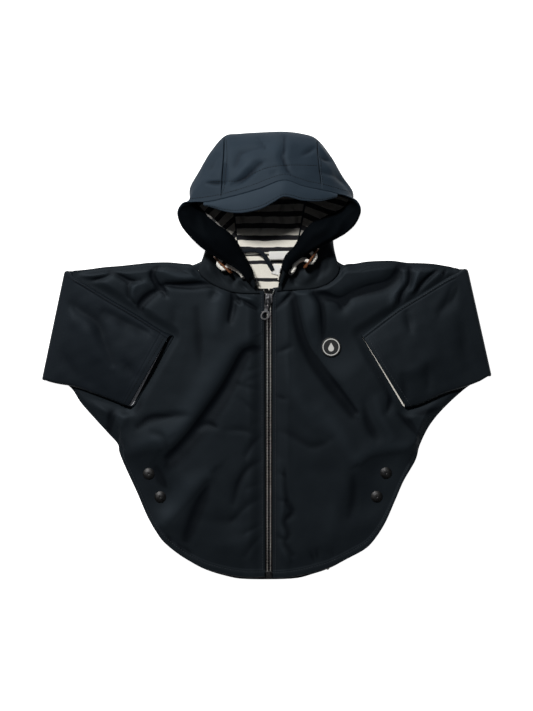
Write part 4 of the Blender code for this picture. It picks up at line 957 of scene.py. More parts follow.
def sleeve_frames(table, side, rings):
    """Bend-centre lines, turn, puff and share to the cuff of a sleeve's rings."""
    rows = np.asarray(table, float)
    shift = np.array([side * FOLD_INSET, 0.0])
    fold_top, fold_foot = rows[0, :2] - shift, rows[0, 2:4] - shift
    inward = np.array([-side * (FOLD_INSET + BEND_LEAD), 0.0])
    frames = [(fold_top + inward, fold_foot + inward, 0.0, 0.0, 0.0)]
    for degrees in np.linspace(0.0, 180.0, BEND_RINGS):
        frames.append((fold_top, fold_foot, degrees, 0.0, 0.0))
    share = 1.0 - (1.0 - np.linspace(0.0, 1.0, rings)) ** RING_CROWDING
    for part, row in zip(share, spline(rows[1:], share * (len(rows) - 2.0))):
        frames.append((row[:2], row[2:4], 180.0, row[4], part))
    return frames


def ring_marks(lower, upper):
    """Shares across a flattened tube, there on its lower layer (-1) and back on its upper one (1)."""
    there = graded(lower, 0.8)
    back_again = graded(upper, 0.8)[::-1]
    shares = np.concatenate([there[:-1], back_again[:-1]])
    layers = np.concatenate([-np.ones(lower - 1), np.ones(upper - 1)])
    return shares, layers


def sleeve_ring(frame_row, side, inset, reach, marks, folds, cuff_hem):
    """One ring of a sleeve, its faces moved in by inset."""
    top, foot, degrees, puff, part = frame_row
    turn = math.radians(degrees)
    low, high = FOLD_INNER + inset, FOLD_OUTER + CLOTH - inset
    length = np.linalg.norm(foot - top)
    shares, layers = marks
    shares = inset / length + shares * (1.0 - 2.0 * inset / length)
    from_edge = np.minimum(shares, 1.0 - shares) * length - inset
    rounded = np.sqrt(np.clip(1.0 - (1.0 - np.clip(from_edge / EDGE_ROUND, 0.0, 1.0)) ** 2, 0.0, 1.0))
    bump = np.sin(math.pi * np.clip(shares, 0.0, 1.0)) ** PUFF_POWER
    middle = (low + high) / 2.0
    plan = top + (foot - top) * shares[:, None]
    crease = folds_height(plan[:, 0], plan[:, 1], folds) + waves(plan[:, 0], plan[:, 1], SLEEVE_WAVES, 31)
    lifted = np.maximum(puff * bump + crease * ease(from_edge / EDGE_REACH) * min(part * 6.0, 1.0), 0.0)
    from_top = shares * length - SLEEVE_SEAM
    seam = SEAM_BAND * (1.0 - ease(from_top / 1.2)) - SEAM_DIP * np.exp(-((from_top - 0.3) ** 2))
    lifted = lifted + cuff_hem + seam * rounded * min(part * 12.0, 1.0)
    upper, lower = middle + (high - middle) * rounded + lifted, middle + (low - middle) * rounded
    radius = np.where(layers > 0, upper, lower)
    reach = reach[0] + (reach[1] - reach[0]) * shares
    reaches = np.where(layers > 0, 0.0, reach) * rounded + reach / 2.0 * (1.0 - rounded)
    out = np.array([side, 0.0]) * math.sin(turn)
    plan = plan + out * radius[:, None] + np.array([-side, 0.0]) * reaches[:, None]
    return np.column_stack([plan, BEND_Z - radius * math.cos(turn)])


def sleeve_wall(rows, side, depths, reaches, marks, folds, hemmed=False):
    """A sleeve's rings at two depths; its layers end apart from each other by reaches at the cuff."""
    cuff, walls = rows[-1], ([], [])
    for number, row in enumerate(rows):
        to_cuff = np.linalg.norm((row[0] + row[1] - cuff[0] - cuff[1]) / 2.0)
        turned_up = hem_height(np.array(to_cuff), *CUFF_HEM) if hemmed and number > BEND_RINGS else 0.0
        reach = np.array(reaches) * ease(1.0 - to_cuff / REACH_FADE)
        for wall, depth in zip(walls, depths):
            wall.append(sleeve_ring(row, side, depth, reach, marks, folds, turned_up))
    return np.array(walls[0]), np.array(walls[1])


def cream_cotton_finish(name, dark, light):
    finish = Finish(name)
    fuzz = finish.noise(900.0, 3.0)
    tone = finish.mix(fuzz, dark, light)
    return finish.done(Base_Color=tone, Roughness=0.95, Normal=finish.bump(fuzz, 0.15), Sheen_Weight=0.2)


cuff_cottons = {
    # The left cuff's lining is a whiter, bluer copy of the cream cotton: painted light in the cuff's shade.
    "left": cream_cotton_finish("cotton_jersey_painted_light", (0.80, 0.82, 0.88), (0.93, 0.95, 1.0)),
    "right": cream_cotton_finish("cream_cotton_jersey", (0.70, 0.68, 0.62), (0.86, 0.84, 0.78)),
}
sleeve_cloths = {
    # The left sleeve's cloth is a darker, bluer copy of the navy: painted shade.
    "left": coated_cloth_finish(
        "navy_coated_cloth_left", (0.0042, 0.0062, 0.0090), (0.0063, 0.0088, 0.0122), 0.6
    ),
    "right": navy_cloth,
}
for side_name, side in (("left", -1.0), ("right", 1.0)):
    table, folds = SLEEVES[side_name], SLEEVE_FOLDS[side_name]
    frames = sleeve_frames(table, side, SLEEVE_RINGS)
    marks = ring_marks(LOWER_STEPS, UPPER_STEPS)
    outer, inner = sleeve_wall(frames, side, (0.0, CLOTH), LOWER_REACHES[side_name], marks, folds, True)
    on_top = np.arange(len(outer))[:, None] > BEND_RINGS
    relief = np.where(on_top, SLEEVE_SHADE * folds_height(outer[..., 0], outer[..., 1], folds), 0.0)
    sleeve = shell(
        "folded_sleeve_" + side_name, outer, inner, sleeve_cloths[side_name], around=True, relief=relief
    )
    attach(sleeve, "coat")
    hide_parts("sleeve_" + side_name)
    lined = [row for row in frames[BEND_RINGS + 1:] if row[4] > 1.0 - LINED_SHARE]
    depths = CLOTH + SEAM, CLOTH + SEAM + LINING
    outer, inner = sleeve_wall(lined, side, depths, LINING_REACHES[side_name], marks, folds)
    cuff_lining = shell("cuff_lining_jersey_" + side_name, outer, inner, cuff_cottons[side_name], around=True)
    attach(cuff_lining, "coat")
    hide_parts("cuff_lining_" + side_name)

# ------------------------------------------------------------------------------------------
# Hood: two side panels that run on down to the collar, and a crown panel between them.
# Coated cloth in a lighter slate; its sides are turned out in front with a facing inside.
# ------------------------------------------------------------------------------------------
# Sections from the left of the zip round the crown to the right of it:
# neck x, y, z; base z; turn x, y, z; brow z; edge x, y, z; width of the facing
HOOD = (
    (-9, 77.5, 8.1, 9, -14.5, 89.5, 11.5, 13, -15, 83.5, 12, 5),
    (-25.5, 77.5, 7.2, 8, -23.5, 108.5, 14.5, 18, -26, 98, 15.5, 12),
    (-43, 79.5, 6.8, 8, -32.5, 124.5, 17.5, 23, -37, 109, 19, 20),
    (-62.5, 86.5, 6.8, 9, -42, 141, 19.5, 27, -54, 118.5, 22, 29),
    (-80.5, 98.5, 6.8, 10, -51.5, 150, 20.5, 29.5, -68.5, 127, 23.5, 35),
    (-84.5, 108.5, 6, 8, -61.5, 156.5, 17.5, 28, -82.5, 136.5, 25, 40),
    (-80, 116.5, 2.4, 2.5, -69.5, 164, 14, 24, -94, 146.5, 26, 42),
    (-72, 120, 1.8, 0.6, -76.5, 171, 12.5, 23, -105.5, 161, 28, 43),
    (-63, 122, 1.8, 0, -83.5, 178.5, 12.5, 23, -110, 177, 30, 44),
    (-55.5, 123.5, 1.8, 0, -91, 187, 15, 26, -103, 188.5, 33.5, 34),
    (-49.5, 124, 1.8, 0, -94, 205.5, 18.5, 30.5, -90, 189.5, 37, 20),
    (-44.5, 124.5, 1.8, 0, -83.5, 226, 20, 35, -77, 189, 41, 8),
    (-39.5, 124.5, 1.8, 0, -69, 251, 20, 37, -65.5, 190, 44.5, 4),
    (-34.5, 125, 1.8, 0, -51.5, 271, 18.5, 38, -56, 192, 47, 4),
    (-23, 125, 1.8, 0, -33, 274, 18, 41, -36, 196.5, 51, 4),
    (-10.5, 125.5, 1.8, 0, -5.5, 275.5, 18, 44, -8, 204.5, 54.5, 4),
    (0.5, 125.5, 1.8, 0, 21.5, 276, 18, 44, 21, 214.5, 56, 4),
    (18, 125.5, 1.8, 0, 44, 273.5, 18, 42, 44.5, 207.5, 53.5, 4),
    (37, 125.5, 1.8, 0, 61.5, 267, 18.5, 39, 68, 203, 49.5, 4),
    (42, 125, 1.8, 0, 78.5, 246, 19.5, 37, 79, 201, 46, 4),
    (47, 124.5, 1.8, 0, 92.5, 221.5, 20, 34, 87, 199, 43, 8),
    (52, 124.5, 1.8, 0, 106, 201, 19, 31, 98, 197, 39, 20),
    (59.5, 123.5, 1.8, 0, 103.5, 185.5, 15, 27, 111.5, 191, 34, 34),
    (68, 122.5, 1.8, 0, 96, 178.5, 12.5, 24, 116.5, 178.5, 30, 42),
    (77, 121, 1.8, 0.6, 88.5, 173, 12.5, 23, 109.5, 162, 28, 43),
    (86.5, 117.5, 2.4, 2.5, 80, 168, 14, 24, 96, 150, 26, 42),
    (90.5, 109.5, 6, 8, 70, 164, 17.5, 28, 85, 145, 25, 40),
    (87.5, 99.5, 6.8, 10, 58.5, 159, 20.5, 29.5, 68.5, 137, 23.5, 35),
    (75.5, 89, 6.8, 9, 46.5, 146, 19.5, 27, 54, 129.5, 22, 29),
    (58, 83.5, 6.8, 8, 37.5, 131, 17.5, 23, 39, 121, 19, 20),
    (37, 82, 7.2, 8, 26.5, 119.5, 14.5, 18, 27.5, 110, 15.5, 12),
    (13, 80.5, 8.1, 9, 17.5, 92, 11.5, 13, 16.5, 84.5, 12, 5),
)
CROWN_LEFT, CROWN_RIGHT = 13.0, 18.0  # rows of its table that the crown's seams follow
BASE_SHARE, BROW_SHARE = 0.62, 0.32   # how far from neck to turn, and from turn to edge, they lie
HOOD_LINING_GAP = 2.0
# Beside the neck the lining hangs slack: its row, slack, spread in rows and inset
SIDE_ROW, SIDE_SLACK, SIDE_SPREAD, SIDE_INSET = 6.0, 2.6, 1.5, 34.0
NECK_INSET, BACK_INSET = 10.0, 1.0
BACK_NECK_ROWS = (7.0, 25.0)
EDGE_SPLIT = 4.0 * SEAM
FACING_LEAST = 9.0
HOOD_FOLDS = (
    (3.5, -2.8, 0, ((22.5, 270), (21.5, 252.5), (19, 244), (22.5, 234), (26, 224))),
    (6, -2.4, 0, ((-5.5, 256), (-20, 254), (-32.5, 247.5), (-37.5, 233))),
    (4, -2.8, 0, ((-7, 235.5), (-18, 225.5), (-29, 215.5), (-41, 208.5))),
    (5, 1.0, 0, ((-13, 242.5), (-26.5, 230.5), (-37.5, 218))),
    (2.5, -1.5, 0, ((-10.5, 268.5), (-3, 258.5), (-0.5, 250))),
    (2.5, -2.0, 0, ((26.5, 225.5), (36.5, 217), (47.5, 207))),
    (2.0, -1.5, 0, ((7, 228), (10.5, 218))),
    (4, -2.4, 0, ((59.5, 256), (45, 246.5))),
    (3, -2.2, 0, ((-50.5, 234), (-51, 212))),
    (2.5, -2.4, 0, ((-73, 212), (-63.5, 211), (-52, 211))),
    (5, -2.4, 0, ((68, 225.5), (84, 222), (97.5, 213))),
    (4, 2.0, 0, ((65, 258.5), (74.5, 246.5))),
    (3, -1.8, 0, ((78, 240), (68, 243))),
    (7, -2.0, 0, ((-62, 244), (-72, 226))),
    (1.3, -0.4, 0, (
        (-68, 213.5), (-51, 214), (-34.5, 214.5), (-7, 227), (5.5, 230.5), (26.5, 233), (66.5, 233),
    )),
    (6, -2.6, 0, ((-96, 160), (-80, 148), (-62, 133), (-48, 120))),
    (5, -2.2, 0, ((-84, 168), (-76, 152), (-64, 142))),
    (4, -1.6, 0, ((-104, 176), (-94, 168))),
    (6, -2.6, 0, ((98, 168), (84, 152), (66, 140), (50, 130))),
    (5, -2.0, 0, ((88, 176), (78, 164), (66, 152))),
    (4, -1.6, 0, ((108, 178), (100, 172))),
)

COLLAR_FOLDS = (
    (4, -2.3, 0, ((-65.5, 113), (-60.5, 102), (-53, 90), (-45.5, 83))),
    (3, -2.2, 0, ((-33, 99.5), (-42, 92), (-42, 81))),
    (5, 2.6, 0, ((-72, 108), (-70, 94))),
    (3, -1.8, 0, ((-33, 91), (-25, 82))),
    (5, -2.3, 0, ((68.5, 127), (66.5, 106), (62.5, 94), (68, 90))),
    (4, -2.2, 0, ((37.5, 104), (34.5, 92), (38.5, 85))),
    (5, -1.8, 0, ((77, 118), (74, 100))),
    (7, 2.8, 0, ((54, 106), (49, 92))),
)
JERSEY_FOLDS = (
    (2.5, -2.0, 0.3, ((-30, 186), (-31, 172), (-27, 160))),
    (2.5, -1.8, 0.3, ((-8, 182), (-4, 168), (-9, 155))),
    (3, -2.2, 0.3, ((20, 190), (17, 174), (22, 160))),
    (2.5, -1.8, -0.3, ((33, 186), (38, 172), (36, 158))),
    (2, -1.4, 0, ((8, 170), (12, 158))),
)
HOOD_WAVES, COLLAR_WAVES = ((0.8, 48.0), (0.3, 17.0)), ((0.5, 30.0),)
# Creases run between these shares of a section, tucks between these, each easing in and out
CREASED, TUCKED = (2.1, 0.6, 4.0, 0.35), (0.1, 0.3, 1.8, 0.5)
TUCK_ROWS, TUCK_FADE = 5.2, 1.5   # tucks are only in the first and last rows
HOOD_BLUR = 7
SEAM_GROOVE, SEAM_ROLL = -1.3, 0.1
SEAM_SHADE = 1.5   # painted shade: how much darker than their own depth the crown seams are painted
FOLD_SHADE = 0.6   # and how strongly the soft creases between them are painted, darker in hollows and paler on crests
SEAM_WIDTH, ROLL_OFF, ROLL_WIDTH = 0.035, 0.2, 0.1  # in rows of the hood's table


def hood_points(rows_at, shares):
    """Points of the hood's outer face: a row of them down each section, at given shares of it."""
    rows = spline(HOOD, rows_at)
    shares = np.broadcast_to(np.asarray(shares, float), (len(rows), np.shape(shares)[-1]))
    grid = []
    for row, share in zip(rows, shares):
        neck, turn, edge = row[0:3], row[4:7], row[8:11]
        base = neck + (turn - neck) * BASE_SHARE
        base[2] = row[3]
        brow = turn + (edge - turn) * BROW_SHARE
        brow[2] = row[7]
        grid.append(spline([neck, base, turn, brow, edge], share))
    grid = np.array(grid)
    grid[..., 2] = np.maximum(grid[..., 2], 0.0)
    return grid


def hood_normals(rows_at, shares):
    """Unit normals of the hood's outer face, pointing out of the hood."""
    rows_at = np.asarray(rows_at, float)
    shares = np.broadcast_to(np.asarray(shares, float), (len(rows_at), np.shape(shares)[-1]))
    step = 0.12
    last = len(HOOD) - 1.0
    sideways = hood_points(np.minimum(rows_at + step, last), shares)
    sideways = sideways - hood_points(np.maximum(rows_at - step, 0.0), shares)
    down = hood_points(rows_at, np.minimum(shares + step, 4.0))
    down = down - hood_points(rows_at, np.maximum(shares - step, 0.0))
    n = np.cross(down, sideways)
    return n / np.maximum(np.linalg.norm(n, axis=2, keepdims=True), 1e-9)


def ease_between(value, start, rise, end, fall):
    """0 up to start, 1 past its rise, and back to 0 at end over its fall."""
    return ease((value - start) / rise) * ease((end - value) / fall)


def hood_skin(rows_at, shares):
    """The hood's creased outer face, its normals, and how far each crease stands above the cloth, with extra
    painted shade along the crown seams.
    """
    grid, n = hood_points(rows_at, shares), hood_normals(rows_at, shares)
    rows_at = np.asarray(rows_at, float)
    x, y = grid[..., 0], grid[..., 1]
    shares = np.broadcast_to(np.asarray(shares, float), x.shape)
    upper = ease_between(shares, *CREASED)
    crease = folds_height(x, y, HOOD_FOLDS) + waves(x, y, HOOD_WAVES, 41)
    from_seam = np.minimum(np.abs(rows_at - CROWN_LEFT), np.abs(rows_at - CROWN_RIGHT))[:, None]
    roll = SEAM_ROLL * np.exp(-(((from_seam - ROLL_OFF) / ROLL_WIDTH) ** 2))
    groove = np.exp(-((from_seam / SEAM_WIDTH) ** 2))
    crease = crease + SEAM_GROOVE * groove + roll
    from_front = np.minimum(rows_at, len(HOOD) - 1.0 - rows_at)[:, None]
    collar = ease_between(shares, *TUCKED) * ease((TUCK_ROWS - from_front) / TUCK_FADE)
    tucks = folds_height(x, y, COLLAR_FOLDS) + waves(x, y, COLLAR_WAVES, 43)
    soft = crease * upper + tucks * collar
    relief = FOLD_SHADE * (soft - blurred(soft, HOOD_BLUR)) - SEAM_SHADE * groove * upper
    return grid + n * soft[..., None], n, relief


def share_limits(rows_at, from_neck, from_edge):
    """Shares of each section at two distances, by length, from its ends."""
    fine = np.linspace(0.0, 4.0, 81)
    limits = []
    for line, first, last in zip(hood_points(rows_at, fine), from_neck, from_edge):
        run = run_of(line)
        limits.append(np.interp([min(first, 0.5 * run[-1]), run[-1] - min(last, 0.35 * run[-1])], run, fine))
    return np.array(limits)


def cloth_spread(grid):
    """Across and along places of a grid's points: along is measured down its columns."""
    down = np.linalg.norm(np.diff(grid, axis=1), axis=2)
    down = np.concatenate([np.zeros((len(grid), 1)), np.cumsum(down, axis=1)], axis=1)
    middle = grid[:, grid.shape[1] // 2]
    over = run_of(middle)[:, None] * np.ones((1, grid.shape[1]))
    return np.dstack([over, down])


slate_cloth = coated_cloth_finish(
    "slate_coated_cloth", (0.0146, 0.0236, 0.0352), (0.0190, 0.0296, 0.0424), 0.62
)
# The side panels' dark colours are painted shade over the collar; from 172 to 192 mm up the coat their slate
# colour comes back.
side_cloth = coated_cloth_finish(
    "slate_coated_cloth_sides", (0.0050, 0.0068, 0.0086), (0.0074, 0.0096, 0.0118), 0.6,
    unshaded=((0.0162, 0.0256, 0.0374), 172.0, 192.0),
)
# The facing is a near-black copy of the navy cloth: painted shade in the turned-out sides.
facing_cloth = coated_cloth_finish(
    "navy_coated_facing", (0.0010, 0.0016, 0.0024), (0.0018, 0.0026, 0.0036), 0.75, shine=0.03
)
hood_jersey = striped_jersey_finish("striped_jersey_hood", 6.5, share=0.43)
# How far each jersey panel's bands are turned, and its finish
JERSEY_CUTS = {
    "left": (math.radians(45.0), striped_jersey_finish("striped_jersey_hood_left", 4.0, share=0.43)),
    "center": (0.0, hood_jersey),
    "right": (math.radians(-20.0), striped_jersey_finish("striped_jersey_hood_right", 3.3, share=0.43)),
}
LAST = len(HOOD) - 1.0
panels = (
    ("left", 0.0, CROWN_LEFT, 110, (0.30, 0.11, 0.0177, 0.0113)),
    ("center", CROWN_LEFT + 0.03, CROWN_RIGHT - 0.03, 64, (0.14, 0.25, 0.0245, 0.0219)),
    ("right", CROWN_RIGHT, LAST, 110, (0.30, 0.11, 0.0174, 0.0112)),
)
FINE_SHARES = np.concatenate([np.linspace(0.0, 2.0, 45), np.linspace(2.0, 4.0, 76)[1:]])
depth = CLOTH + HOOD_LINING_GAP
hood_pieces = {}
for name, first, last, count, (cut_width, cut_length, skin_area, jersey_area) in panels:
    at = first + (last - first) * graded(count, 0.8)
    outer, n, relief = hood_skin(at, FINE_SHARES)
    inner = outer - n * CLOTH
    inner[..., 2] = np.maximum(inner[..., 2], SEAM)
    cloth = slate_cloth if name == "center" else side_cloth
    panel = shell("hood_panel_" + name, outer, inner, cloth, cloth_spread(outer), relief=relief)
    hood_pieces[name] = panel
    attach(panel, "coat")
    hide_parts("hood_" + name)

    at = np.clip(at, first + 0.06, last - 0.06)
    bands = spline(HOOD, at)[:, 11]
    back_neck = (at > BACK_NECK_ROWS[0]) & (at < BACK_NECK_ROWS[1])
    near_sides = np.minimum(np.abs(at - SIDE_ROW), np.abs(at - LAST + SIDE_ROW))
    sides = np.exp(-((near_sides / SIDE_SPREAD) ** 2))
    from_neck = np.minimum(np.where(back_neck, BACK_INSET, NECK_INSET) + SIDE_INSET * sides, SIDE_INSET)
    limits = share_limits(at, from_neck, bands + EDGE_SPLIT)
    lined = limits[:, :1] + (limits[:, 1:] - limits[:, :1]) * np.linspace(0.0, 1.0, 84)
    skin, n, _ = hood_skin(at, lined)
    pleats = folds_height(skin[..., 0], skin[..., 1], JERSEY_FOLDS)
    over = skin - n * ((depth + SIDE_SLACK * sides)[:, None] - pleats)[..., None]
    under = over - n * LINING
    resting = np.where(back_neck, CLOTH + SEAM, LINING_UNDER + LINING + SEAM)[:, None]
    over[..., 2] = np.maximum(over[..., 2], resting)
    under[..., 2] = np.maximum(under[..., 2], resting + LINING)
    turn, jersey_finish = JERSEY_CUTS[name]
    x, y = under[..., 0], under[..., 1]
    cut = np.dstack([x * math.cos(turn) + y * math.sin(turn), y * math.cos(turn) - x * math.sin(turn)])
    jersey = shell("hood_jersey_" + name, over, under, jersey_finish, cut, relief=pleats)
    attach(jersey, "coat")
    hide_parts("hood_lining_" + name)
    "hood_panel_" + name
    if name == "center":
        continue
    kept = bands > FACING_LEAST
    at, bands, sides = at[kept], bands[kept], sides[kept]
    starts = share_limits(at, np.full(len(at), NECK_INSET), bands)[:, 1:]
    faced = starts + (4.0 - starts) * np.linspace(0.0, 1.0, 30)
    skin, n, relief = hood_skin(at, faced)
    over = skin - n * (depth + SIDE_SLACK * sides)[:, None, None]
    # Its painted shade and highlight follow the hood's creases, turned over.
    facing = shell(
        "hood_facing_band_" + name, over, over - n * LINING, facing_cloth, cloth_spread(over), relief=-relief
    )
    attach(facing, "coat")
    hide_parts("hood_facing_" + name)
    "hood_panel_" + name

# ------------------------------------------------------------------------------------------
# Peak: a stiffened crescent of the hood's cloth, sewn along the hood's front edge.
# It bows up between its seam and its free edge, which is turned and topstitched.
# ------------------------------------------------------------------------------------------
PEAK_WALL = 1.6
PEAK_GAP = 0.9
PEAK_BOW = 0.8
PEAK_ROWS, PEAK_STEPS = 120, 22
# Its free edge, from its left tip to its right: hood row it is sewn at, x, y, z
PEAK = (
    (11, -77, 184.5, 42.5), (12, -65.5, 181.5, 46), (13, -52, 177, 49.5),
    (14, -36, 174.5, 53.5), (14.5, -20, 176, 56), (15, -5, 180, 58),
    (15.6, 8, 187, 59), (16.1, 22, 194, 59.5), (17, 44.5, 189.5, 57),
    (18, 65, 189, 52.5), (19, 78, 192, 48.5), (20, 86.5, 194.5, 44.5),
)


def peak_grid(count, steps):
    rows = spline(PEAK, np.linspace(0.0, len(PEAK) - 1.0, count))
    sewn = hood_points(rows[:, 0], [4.0])[:, 0]
    free = rows[:, 1:4]
    out = free - sewn
    sewn = sewn + out / np.linalg.norm(out, axis=1, keepdims=True) * PEAK_GAP
    share = np.linspace(0.0, 1.0, steps)[None, :, None]
    top = sewn[:, None] + (free - sewn)[:, None] * share
    top[..., 2] += PEAK_BOW * np.sin(math.pi * share[..., 0])
    return top


peak_top = peak_grid(PEAK_ROWS, PEAK_STEPS)
# The peak's cloth is a paler copy of the hood's slate: painted light.
peak_cloth = coated_cloth_finish(
    "slate_coated_peak", (0.0192, 0.0302, 0.0440), (0.0248, 0.0374, 0.0525), 0.62
)
peak = shell("hood_peak", peak_top, peak_top - (0.0, 0.0, PEAK_WALL), peak_cloth, cloth_spread(peak_top))
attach(peak, "coat")
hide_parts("peak")

# ------------------------------------------------------------------------------------------
# Zip: woven black tapes, moulded teeth with bright outer bars and heads painted near black as shade, a cast
# slider and box.
# Its pull is a stamped nickel plate that swings on the slider's bridge.
# ------------------------------------------------------------------------------------------
ZIP_X = 3.0
ZIP_TOP, ZIP_BOTTOM = 83.3, -277.0
TAPE_Z, TAPE_WALL, TAPE_WIDTH = 3.3, 1.0, 13.5
TEETH_Z, TEETH_HEIGHT = 4.6, 1.5
TEETH_FOOT = 8.5
SLIDER_FOOT = 64.5
TOOTH_PITCH = 1.9
BAR_OFF = 2.0          # the teeth's bright bars lie this far each side of the zip's middle
BAR_SIZE = (0.86 * TOOTH_PITCH, 1.6, TEETH_HEIGHT)
HEAD_OFF = 0.6         # and the heads that lock into each other lie this far
HEAD_SIZE = (0.95, 1.5, 1.1)
OPEN_ROW = ((4.0, 75.2, 8.0), (6.3, 81.5, 8.6))  # the parted teeth above the slider
SPREAD_FROM = 79.5     # above this the open tapes part
SPREAD_SLOPE = 0.2
PULL_AXIS = (2.0, 71.5, 9.4)
PULL_SKEW = 0.165      # it lies a little to the left


def metal_finish(name, dull, bright, roughness):
    """Plated metal with fine scratches, its dullest shade where the plating is rubbed thin."""
    finish = Finish(name)
    wear = finish.noise(500.0, 4.0) * 0.5 + finish.noise(90.0, 2.0) * 0.5
    tone = finish.mix(wear.between(0.3, 0.65), dull, bright)
    scratch = finish.bump(finish.noise(2600.0, 1.0), 0.02)
    rough = wear * 0.2 + (roughness - 0.1)
    return finish.done(Base_Color=tone, Roughness=rough, Metallic=1.0, Normal=scratch)


def woven_tape_finish(name, dark, light):
    """A flat woven tape: a small diagonal rib."""
    finish = Finish(name)
    across, along_it, _ = finish.split(finish.cloth_place())
    rib = ((along_it + across * 0.8) * (2.0 * math.pi / 0.9)).wave() * 0.5 + 0.5
    tone = finish.mix(rib * 0.5 + finish.noise(700.0) * 0.5, dark, light)
    weave = finish.bump(rib, 0.15)
    return finish.done(Base_Color=tone, Roughness=0.85, Specular_IOR_Level=0.15, Normal=weave)


def bead(size, sides=6, rings=5):
    """A small rounded bar along X: its points and faces."""
    turn = np.linspace(0.0, math.pi, rings + 2)[1:-1]
    angle = np.linspace(0.0, 2.0 * math.pi, sides, endpoint=False)
    x = -np.cos(turn)[:, None] * np.ones(sides)
    girth = np.sin(turn)[:, None] ** 0.6
    points = np.stack([x, girth * np.cos(angle), girth * np.sin(angle)], axis=2).reshape(-1, 3)
    faces = grid_faces(rings, sides, around=True)
    faces += [tuple(range(sides))[::-1], tuple((rings - 1) * sides + k for k in range(sides))]
    return points * np.asarray(size) / 2.0, outward(points, faces[:-2]) + faces[-2:]


def add_run(curve, places):
    """Straight pieces of a curve through places in millimetres."""
    run = curve.splines.new("POLY")
    run.points.add(len(places) - 1)
    for point, place in zip(run.points, places):
        point.co = (*(float(c) * MM for c in place), 1.0)
    return run


def baked(made, name):
    """The mesh that an object's curve and modifiers make; the object itself goes."""
    graph = bpy.context.evaluated_depsgraph_get()
    mesh = bpy.data.meshes.new_from_object(made.evaluated_get(graph))
    mesh.name = name
    bpy.data.objects.remove(made, do_unlink=True)
    return mesh


def set_along(name, lines, size, pitch, material, seed=3, vary=0.0):
    """Small rounded bars set end to end along lines, as one mesh piece."""
    shape = add_piece(name + "_shape", *bead(size), material)
    curve = bpy.data.curves.new(name + "_lines", "CURVE")
    curve.dimensions = "3D"
    for line in lines:
        add_run(curve, line)
    runs = add_object(name + "_lines", curve)
    tree = bpy.data.node_groups.new(name, "GeometryNodeTree")
    face = tree.interface
    face.new_socket("Lines", in_out="INPUT", socket_type="NodeSocketGeometry")
    pitch_socket = face.new_socket("Pitch", in_out="INPUT", socket_type="NodeSocketFloat")
    shape_socket = face.new_socket("Shape", in_out="INPUT", socket_type="NodeSocketObject")
    vary_socket = face.new_socket("Uneven", in_out="INPUT", socket_type="NodeSocketFloat")
    seed_socket = face.new_socket("Seed", in_out="INPUT", socket_type="NodeSocketInt")
    face.new_socket("Piece", in_out="OUTPUT", socket_type="NodeSocketGeometry")
    given = add_node(tree, "NodeGroupInput").outputs
    spaced = add_node(
        tree, "GeometryNodeResampleCurve", {"mode": "LENGTH"},
        {"Curve": given["Lines"], "Length": given["Pitch"]},
    )
    ahead = add_node(tree, "GeometryNodeInputTangent")
    aimed = add_node(tree, "FunctionNodeAlignRotationToVector", {"axis": "X"}, {"Vector": ahead.outputs[0]})
    low = add_node(tree, "ShaderNodeMath", {"operation": "SUBTRACT"}, {0: 1.0, 1: given["Uneven"]})
    high = add_node(tree, "ShaderNodeMath", {"operation": "ADD"}, {0: 1.0, 1: given["Uneven"]})
    sized = add_node(
        tree, "FunctionNodeRandomValue", {"data_type": "FLOAT"},
        {2: low.outputs[0], 3: high.outputs[0], "Seed": given["Seed"]},
    )
    info = add_node(
        tree, "GeometryNodeObjectInfo", {"transform_space": "ORIGINAL"}, {"Object": given["Shape"]}
    )
    placed = add_node(
        tree, "GeometryNodeInstanceOnPoints", None,
        {
            "Points": spaced.outputs[0], "Instance": info.outputs["Geometry"],
            "Rotation": aimed.outputs[0], "Scale": sized.outputs[1],
        },
    )
    real = add_node(tree, "GeometryNodeRealizeInstances", None, {0: placed.outputs[0]})
    coated = add_node(
        tree, "GeometryNodeSetMaterial", None, {"Geometry": real.outputs[0], "Material": material}
    )
    add_node(tree, "NodeGroupOutput", None, {0: coated.outputs[0]})
    repeat = runs.modifiers.new("set_along", "NODES")
    repeat.node_group = tree
    for socket, value in (
        (pitch_socket, pitch * MM), (shape_socket, shape), (vary_socket, vary), (seed_socket, seed),
    ):
        repeat[socket.identifier] = value
    mesh = baked(runs, name)
    bpy.data.objects.remove(shape, do_unlink=True)
    return add_object(name, mesh)


nickel = metal_finish("bright_nickel", (0.30, 0.30, 0.30), (0.64, 0.64, 0.63), 0.36)
